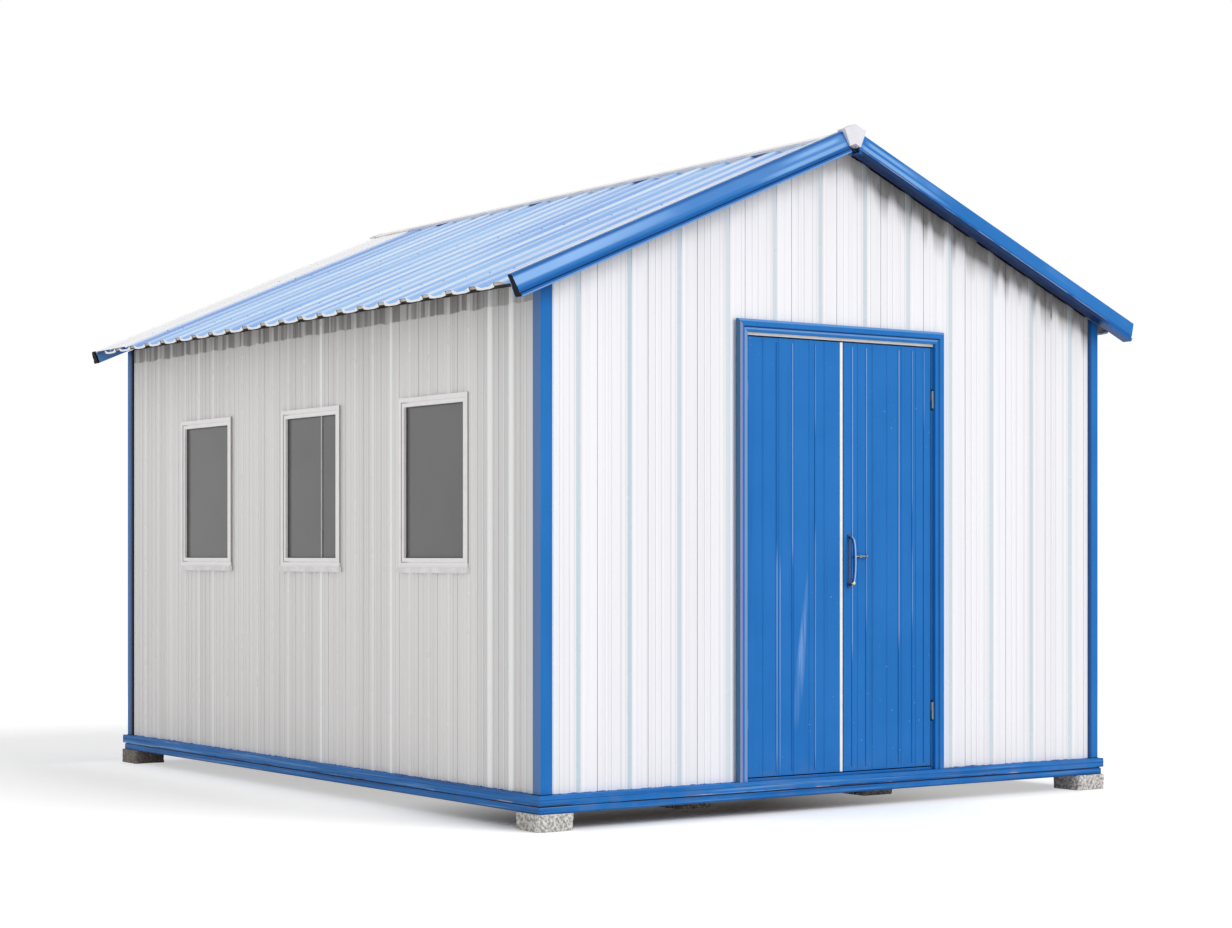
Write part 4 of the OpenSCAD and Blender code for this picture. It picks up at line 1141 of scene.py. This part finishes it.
# %% Drip lips
LIP_H = 0.009
LIP_T = 0.0016
OPEN_HALF = 0.029            # half width of the opening under a rib
EAVE_RIBS = [y for y in rib_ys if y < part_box("rear_wall")[0][1] - bay]
half = bay / 2 - OPEN_HALF
valley = (bay - RIB_FOOT) / 2
shoulder = SHEET_T + RIB_H * (half - valley) / ((RIB_FOOT - RIB_TOP) / 2)
lip_outline = [(-half, -LIP_H / 2), (-valley, -LIP_H), (valley, -LIP_H), (half, -LIP_H / 2),
               (half, shoulder), (valley, SHEET_T), (-valley, SHEET_T), (-half, shoulder)]
lips = bmesh.new()
for side in (-1, 1):
    for y in EAVE_RIBS:
        points = [(slope_l, y + bay / 2 + across, up) for across, up in lip_outline]
        add_prism(lips, points, (LIP_T, 0, 0), on_slope(side))
finish_piece("eave_drip_lips", lips, rear_white)

# %% [markdown]
# Foam plugs close the hollow of each rib a little way inside the eave: grey foam on the left, and dark
# blue foam on the right as painted shade under that eave. They are the ridge closures upside down: a prism
# that is wide at the foot and narrow at the top.

# %% Eave plugs
PLUG_IN = 0.003
PLUG_LOW = 0.0005
low_half = RIB_FOOT / 2 - 0.004
high_half = RIB_TOP / 2 - 0.001
top = RIB_H - FOAM_PLAY
plug_outline = [(-low_half, PLUG_LOW), (low_half, PLUG_LOW), (high_half, top), (-high_half, top)]
grey_foam = simple_finish("grey_foam", (0.72, 0.67, 0.63), (0.30, 0.27, 0.25), 5.0, 0.9)
for side, plug_name, foam in ((-1, "eave_plugs", grey_foam), (1, "right_eave_plugs", shade_dark_foam)):
    plugs = bmesh.new()
    for y in EAVE_RIBS:
        points = [(slope_l - PLUG_IN - FOAM_D, y + across, up) for across, up in plug_outline]
        add_prism(plugs, points, (FOAM_D, 0, 0), on_slope(side))
    finish_piece(plug_name, plugs, foam)

# %% [markdown]
# At the rear a second white sheet lies on the ribs beside the apron and widens it. Its free edge is
# turned down. Two thin blocks on each slope are enough, because only the sheet's top and its edge ever
# show.

# %% Apron sheets
APRON_BAYS = (2.05, 1.02)    # from the rear end of the roof to the sheet's two edges
APRON_GAP = 0.004            # from the ridge cap
APRON_SHORT = 0.001          # from the eave
APRON_UP = (0.0004, 0.0018)  # its underside and its top, over the crests
EDGE_T = 0.0016
EDGE_DOWN = 0.006
EDGE_ROUND = 0.0004
aprons = bmesh.new()
inner = sheet_half - APRON_BAYS[0] * bay
low = Vector((CAP_WING + APRON_GAP, inner, CREST + APRON_UP[0]))
high = Vector((slope_l - APRON_SHORT, sheet_half - APRON_BAYS[1] * bay, CREST + APRON_UP[1]))
for side in (-1, 1):
    add_block(aprons, low, high, EDGE_ROUND, on_slope(side))
    edge = (high.x, inner + EDGE_T, CREST + EDGE_T)
    add_block(aprons, (low.x, inner, CREST - EDGE_DOWN), edge, EDGE_ROUND, on_slope(side))
finish_piece("rear_apron_sheets", aprons, rear_white)

# %% [markdown]
# A pale sealing strip lies on the back edge of each front verge. It shows as a thin light line up the
# roof's edge. Paint could draw that line too, but from above the strip has to stand on the trim.

# %% Verge strips
VERGE_UP = 0.039             # top of the verge trim over the sheet
STRIP_W = 0.013
STRIP_H = 0.004
STRIP_LAP = 0.003            # how far it laps over the sheet
STRIP_ENDS = (0.015, 0.004)  # from the ridge cap and from the eave
STRIP_ROUND = 0.0015
strips = bmesh.new()
start = (CAP_WING + STRIP_ENDS[0], -sheet_half - STRIP_W + STRIP_LAP, VERGE_UP)
end = (slope_l - STRIP_ENDS[1], -sheet_half + STRIP_LAP, VERGE_UP + STRIP_H)
for side in (-1, 1):
    add_block(strips, start, end, STRIP_ROUND, on_slope(side))
finish_piece("verge_strips", strips, seal)

# %% [markdown]
# Slim beads run up both leaves. They are pieces of their own and ride on their leaf, so each one swings
# with it.

# %% Leaf beads
LEAF_RIB = 0.003             # how far the leaf's ribs stand out
BEAD_W = 0.006
BEAD_H = 0.0036
BEAD_END = 0.020
BEAD_ROUND = 0.001
BEAD_PLAY = 0.0002
BEADS = {"left_door": (-0.388, -0.370, -0.296, -0.161), "right_door": (0.063, 0.149, 0.352, 0.437, 0.511)}
leaf_low, leaf_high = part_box("right_door_leaf")
leaf_face = leaf_low[1] + LEAF_RIB
for body, beads in BEADS.items():
    group = bmesh.new()
    for x in beads:
        low = (x - BEAD_W / 2, leaf_face - BEAD_H, leaf_low[2] + BEAD_END)
        high = (x + BEAD_W / 2, leaf_face - BEAD_PLAY, leaf_high[2] - BEAD_END)
        add_block(group, low, high, BEAD_ROUND)
    finish_piece(body + "_beads", group, bead_coat, body)

# %% [markdown]
# Two slim pieces on the frame close most of the gaps round the leaves: a threshold on the rail, and a
# strip up each jamb, broken at the hinges. They stay more than 5 mm away from the leaves, so the doors
# swing free.

# %% Threshold and jamb strips
CLEAR = 0.0055
SILL_IN = (0.002, 0.030)     # the threshold's front and back, behind the leaf's face
SILL_SIDE = 0.0005
SILL_UP = 0.0003
SILL_ROUND = 0.001
HINGE_ROOM = 0.010
HINGE_H = 0.080
JAMB_D = 0.012
JAMB_PLAY = 0.0003
JAMB_ROUND = 0.0008
gap_fillers = bmesh.new()
sill_top = leaf_low[2] - CLEAR
sill_half = DOOR_HALF - SILL_SIDE
add_block(gap_fillers, (-sill_half, leaf_face + SILL_IN[0], rail_z + SILL_UP),
          (sill_half, leaf_face + SILL_IN[1], sill_top), SILL_ROUND)
hinge_low, hinge_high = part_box("frame_hinges")
past_hinge = HINGE_H + HINGE_ROOM
stretches = ((sill_top, hinge_low[2] - HINGE_ROOM), (hinge_low[2] + past_hinge, hinge_high[2] - past_hinge),
             (hinge_high[2] + HINGE_ROOM, leaf_high[2]))
for side in (-1, 1):
    xs = sorted((side * (leaf_high[0] + CLEAR), side * (DOOR_HALF - JAMB_PLAY)))
    for start, end in stretches:
        add_block(gap_fillers, (xs[0], leaf_face, start), (xs[1], leaf_face + JAMB_D, end), JAMB_ROUND)
finish_piece("door_gap_fillers", gap_fillers, lacquer)

# %% [markdown]
# Dark rubber fills the narrow gap between each post and the long wall beside it, and a thin packer lies
# under the foot of each post. They are black so that they draw the fine dark lines of painted shade in
# the gaps along the posts. Both are measured from the posts and the wall, so they sit in the gap and
# don't reach past it.

# %% Post seals and packers
SEAL_TOP = 2.335
SEAL_BACK = 0.040
SEAL_IN = 0.009              # behind the crests of the wall's ribs
SEAL_PLAY = 0.0002
SEAL_FOOT = 0.0005
FOOT_PROUD = 0.0015
FOOT_H = 0.003
wall_low, wall_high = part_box("left_wall")
seals = bmesh.new()
packers = bmesh.new()
for name in ("front_left_post", "front_right_post", "rear_left_post", "rear_right_post"):
    low, high = corners(name)
    side = -1 if low.x < 0 else 1
    face = -side * (wall_low[0] + SEAL_IN)
    xs = sorted((face, face - side * SEAL_BACK))
    ys = sorted((high.y, wall_low[1]) if low.y < 0 else (low.y, wall_high[1]))
    add_block(seals, (xs[0], ys[0] + SEAL_PLAY, rail_z + SEAL_FOOT), (xs[1], ys[1] - SEAL_PLAY, SEAL_TOP))
    proud = Vector((FOOT_PROUD, FOOT_PROUD, 0))
    add_block(packers, low - proud, (high.x + FOOT_PROUD, high.y + FOOT_PROUD, rail_z + FOOT_H))
# the black seals and packers draw painted shade in the gaps
finish_piece("post_seals", seals, black)
finish_piece("post_packers", packers, black)

# %% [markdown]
# Each pane sits in a thin dark gasket. The middle window also has one slim glazing bar. A gasket is four
# rounded bars, made from the box of its window frame, which is simpler than cutting a hole in a plate.

# %% Window gaskets and bar
SILL_H = 0.026
SILL_PAST = 0.008            # how far a sill reaches past its frame
FRAME_BAR = 0.042
GASKET = 0.0045
GASKET_X = (0.005, 0.0003)   # its front and back, before the glass
GASKET_ROUND = 0.001
BAR_W = 0.0045
BAR_IN = 0.206               # from the middle window's front edge to its bar
BAR_X = (0.007, 0.0004)
BAR_ROUND = 0.0015
glass_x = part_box("window_glass")[0][0]
gaskets = bmesh.new()
glazing_bar = bmesh.new()
for window in windows:
    low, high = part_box(window)
    y0 = low[1] + SILL_PAST + FRAME_BAR
    y1 = high[1] - SILL_PAST - FRAME_BAR
    z0 = low[2] + SILL_H + FRAME_BAR
    z1 = high[2] - FRAME_BAR
    lying = [(y0, y1, z, z + GASKET) for z in (z0, z1 - GASKET)]
    upright = [(y, y + GASKET, z0 + GASKET, z1 - GASKET) for y in (y0, y1 - GASKET)]
    for ya, yb, za, zb in lying + upright:
        add_block(gaskets, (glass_x - GASKET_X[0], ya, za), (glass_x - GASKET_X[1], yb, zb), GASKET_ROUND)
    if window == "window_frame_2":
        bar_y = y0 - FRAME_BAR + BAR_IN
        bar_high = (glass_x - BAR_X[1], bar_y + BAR_W, z1)
        add_block(glazing_bar, (glass_x - BAR_X[0], bar_y, z0), bar_high, BAR_ROUND)
rubber = simple_finish("grey_rubber", (0.10,) * 3, (0.14,) * 3, 25.0, 0.7)
finish_piece("window_gaskets", gaskets, rubber)
finish_piece("glazing_bar", glazing_bar, shaded_white)

# %% [markdown]
# The door handle is a bow: an oval tube between two feet, with a thin plate behind it. The tube is a row
# of rings along a path, and each ring is bridged to the next, which keeps its bends smooth. The path is
# drawn for the upper half, as shares of the bow's depth and drops from the foot, and mirrored for the
# lower half.

# %% Bow handle
BOW = ((0.0, 0.0), (0.45, 0.003), (0.75, 0.014), (0.88, 0.035), (0.96, 0.065), (1.0, 0.095))
GRIP_WIDE = 0.0085           # half widths of the oval
GRIP_DEEP = 0.0065
GRIP_IN = 0.007
GRIP_SIDES = 14
FOOT_BLOCK = Vector((0.011, 0.004, 0.012))      # half width, depth and half height of a foot
FOOT_ROUND = 0.0015
PLATE_X = (0.007, 0.009)     # the plate's reach to the left and to the right
PLATE_T = 0.0022
PLATE_ROUND = 0.0008


def add_tube(group, path):
    """Sweeps an oval along points in one upright plane: a ring at each point, bridged to the next ring."""
    shape = bmesh.new()
    rings = []
    for i, point in enumerate(path):
        ahead = path[min(i + 1, len(path) - 1)] - path[max(i - 1, 0)]
        place = Matrix.Translation(point) @ ahead.to_track_quat("Z", "X").to_matrix().to_4x4()
        size = Matrix.Diagonal((GRIP_DEEP, GRIP_WIDE, 1, 1))
        ring = bmesh.ops.create_circle(shape, segments=GRIP_SIDES, radius=1, matrix=place @ size)["verts"]
        rings.append([edge for edge in shape.edges if edge.verts[0] in ring and edge.verts[1] in ring])
    for one, other in zip(rings, rings[1:]):
        bmesh.ops.bridge_loops(shape, edges=one + other)
    bmesh.ops.holes_fill(shape, edges=[edge for edge in shape.edges if edge.is_boundary])
    pour(group, shape)


handle_low, handle_high = corners("pull_handle")
handle_x = (handle_low.x + handle_high.x) / 2
face_y = handle_high.y
grip_y = handle_low.y + GRIP_IN
foot = (handle_high.x - handle_low.x) / 2
top = handle_high.z - foot
bottom = handle_low.z + foot
bow = [Vector((handle_x, face_y + (grip_y - face_y) * out, top - down)) for out, down in BOW]
bow += [Vector((point.x, point.y, top + bottom - point.z)) for point in reversed(bow)]
grip = bmesh.new()
add_tube(grip, bow)
for z in (top, bottom):
    foot_high = Vector((handle_x + FOOT_BLOCK.x, face_y, z + FOOT_BLOCK.z))
    foot_low = (handle_x - FOOT_BLOCK.x, face_y - FOOT_BLOCK.y, z - FOOT_BLOCK.z)
    add_block(grip, foot_low, foot_high, FOOT_ROUND)
plate_low = (handle_x - PLATE_X[0], face_y - PLATE_T, bottom + FOOT_BLOCK.z)
add_block(grip, plate_low, (handle_x + PLATE_X[1], face_y, top - FOOT_BLOCK.z), PLATE_ROUND)
finish_piece("bow_handle", grip, handle_coat, "right_door", stands_for=("pull_handle",))

# %% [markdown]
# Small furniture: a worn brass button on the handle's lower foot, a knob on the end of the latch bolt and
# domed heads on the hinge pins. A sphere made flat is enough for a button, because its back half is
# buried.

# %% Buttons
BUTTON_AT = Vector((0.002, -0.028, 0.010))      # from the handle's lower foot
BUTTON_SIZE = (0.0105, 0.011)                   # radius and height
KNOB_OUT = 0.004
KNOB_SIZE = (0.0075, 0.0075)
PIN_SIZE = (0.0045, 0.004)
FORWARD = Matrix.Rotation(math.radians(90), 4, "X")


def add_button(group, centre, size, turn):
    """A domed button of a radius and a height, whose top points along turn's z axis."""
    radius, height = size
    shape = bmesh.new()
    bmesh.ops.create_uvsphere(shape, u_segments=16, v_segments=10, radius=radius)
    bmesh.ops.scale(shape, vec=(1, 1, height / radius), verts=shape.verts)
    pour(group, shape, Matrix.Translation(centre) @ turn)


lower_button = bmesh.new()
add_button(lower_button, Vector((handle_x, face_y, bottom)) + BUTTON_AT, BUTTON_SIZE, FORWARD)
finish_piece("handle_brass_button", lower_button, brass, "right_door")

bolt_low, bolt_high = corners("latch_bolt")
bolt_mid = (bolt_low + bolt_high) / 2
knob = bmesh.new()
add_button(knob, (bolt_high.x, bolt_mid.y - KNOB_OUT, bolt_mid.z), KNOB_SIZE, FORWARD)
finish_piece("latch_knob", knob, zinc, "right_door")

heads = bmesh.new()
for joint in frame["record"]["behaviour"]["joints"]:
    x, y, _ = joint["pos_m"]
    for z in (hinge_low[2], hinge_high[2]):
        add_button(heads, (x, y, z), PIN_SIZE, Matrix())
finish_piece("hinge_pin_heads", heads, zinc)

# %% [markdown]
# The rails are welded at the mitres. A weld is a row of flattened drops up each corner. A ball with few
# faces is enough for a drop, because the drops overlap and only their outer sides show.

# %% Weld beads
DROP_R = 0.0035
DROP_STEP = 0.0045
DROP_FLAT = 0.75
DROP_IN = 0.0012
WELD_START = 0.040           # from the rail's foot to the first drop
welds = bmesh.new()
rail_low, rail_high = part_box("front_base_rail")
drops = int((rail_high[2] - rail_low[2] - WELD_START) / DROP_STEP)
for x in (rail_low[0], rail_high[0]):
    for y in (rail_low[1], -rail_low[1]):
        inward = Vector((-math.copysign(DROP_IN, x), -math.copysign(DROP_IN, y), 0))
        foot = Vector((x, y, rail_low[2] + WELD_START)) + inward
        for i in range(drops):
            shape = bmesh.new()
            bmesh.ops.create_icosphere(shape, subdivisions=1, radius=DROP_R)
            bmesh.ops.scale(shape, vec=(1, 1, DROP_FLAT), verts=shape.verts)
            pour(welds, shape, Matrix.Translation(foot + Vector((0, 0, i * DROP_STEP))))
finish_piece("rail_welds", welds, lacquer)

# %% [markdown]
# The picture keeps plain colours.

# %% Picture settings
bpy.context.scene.view_settings.view_transform = "Standard"
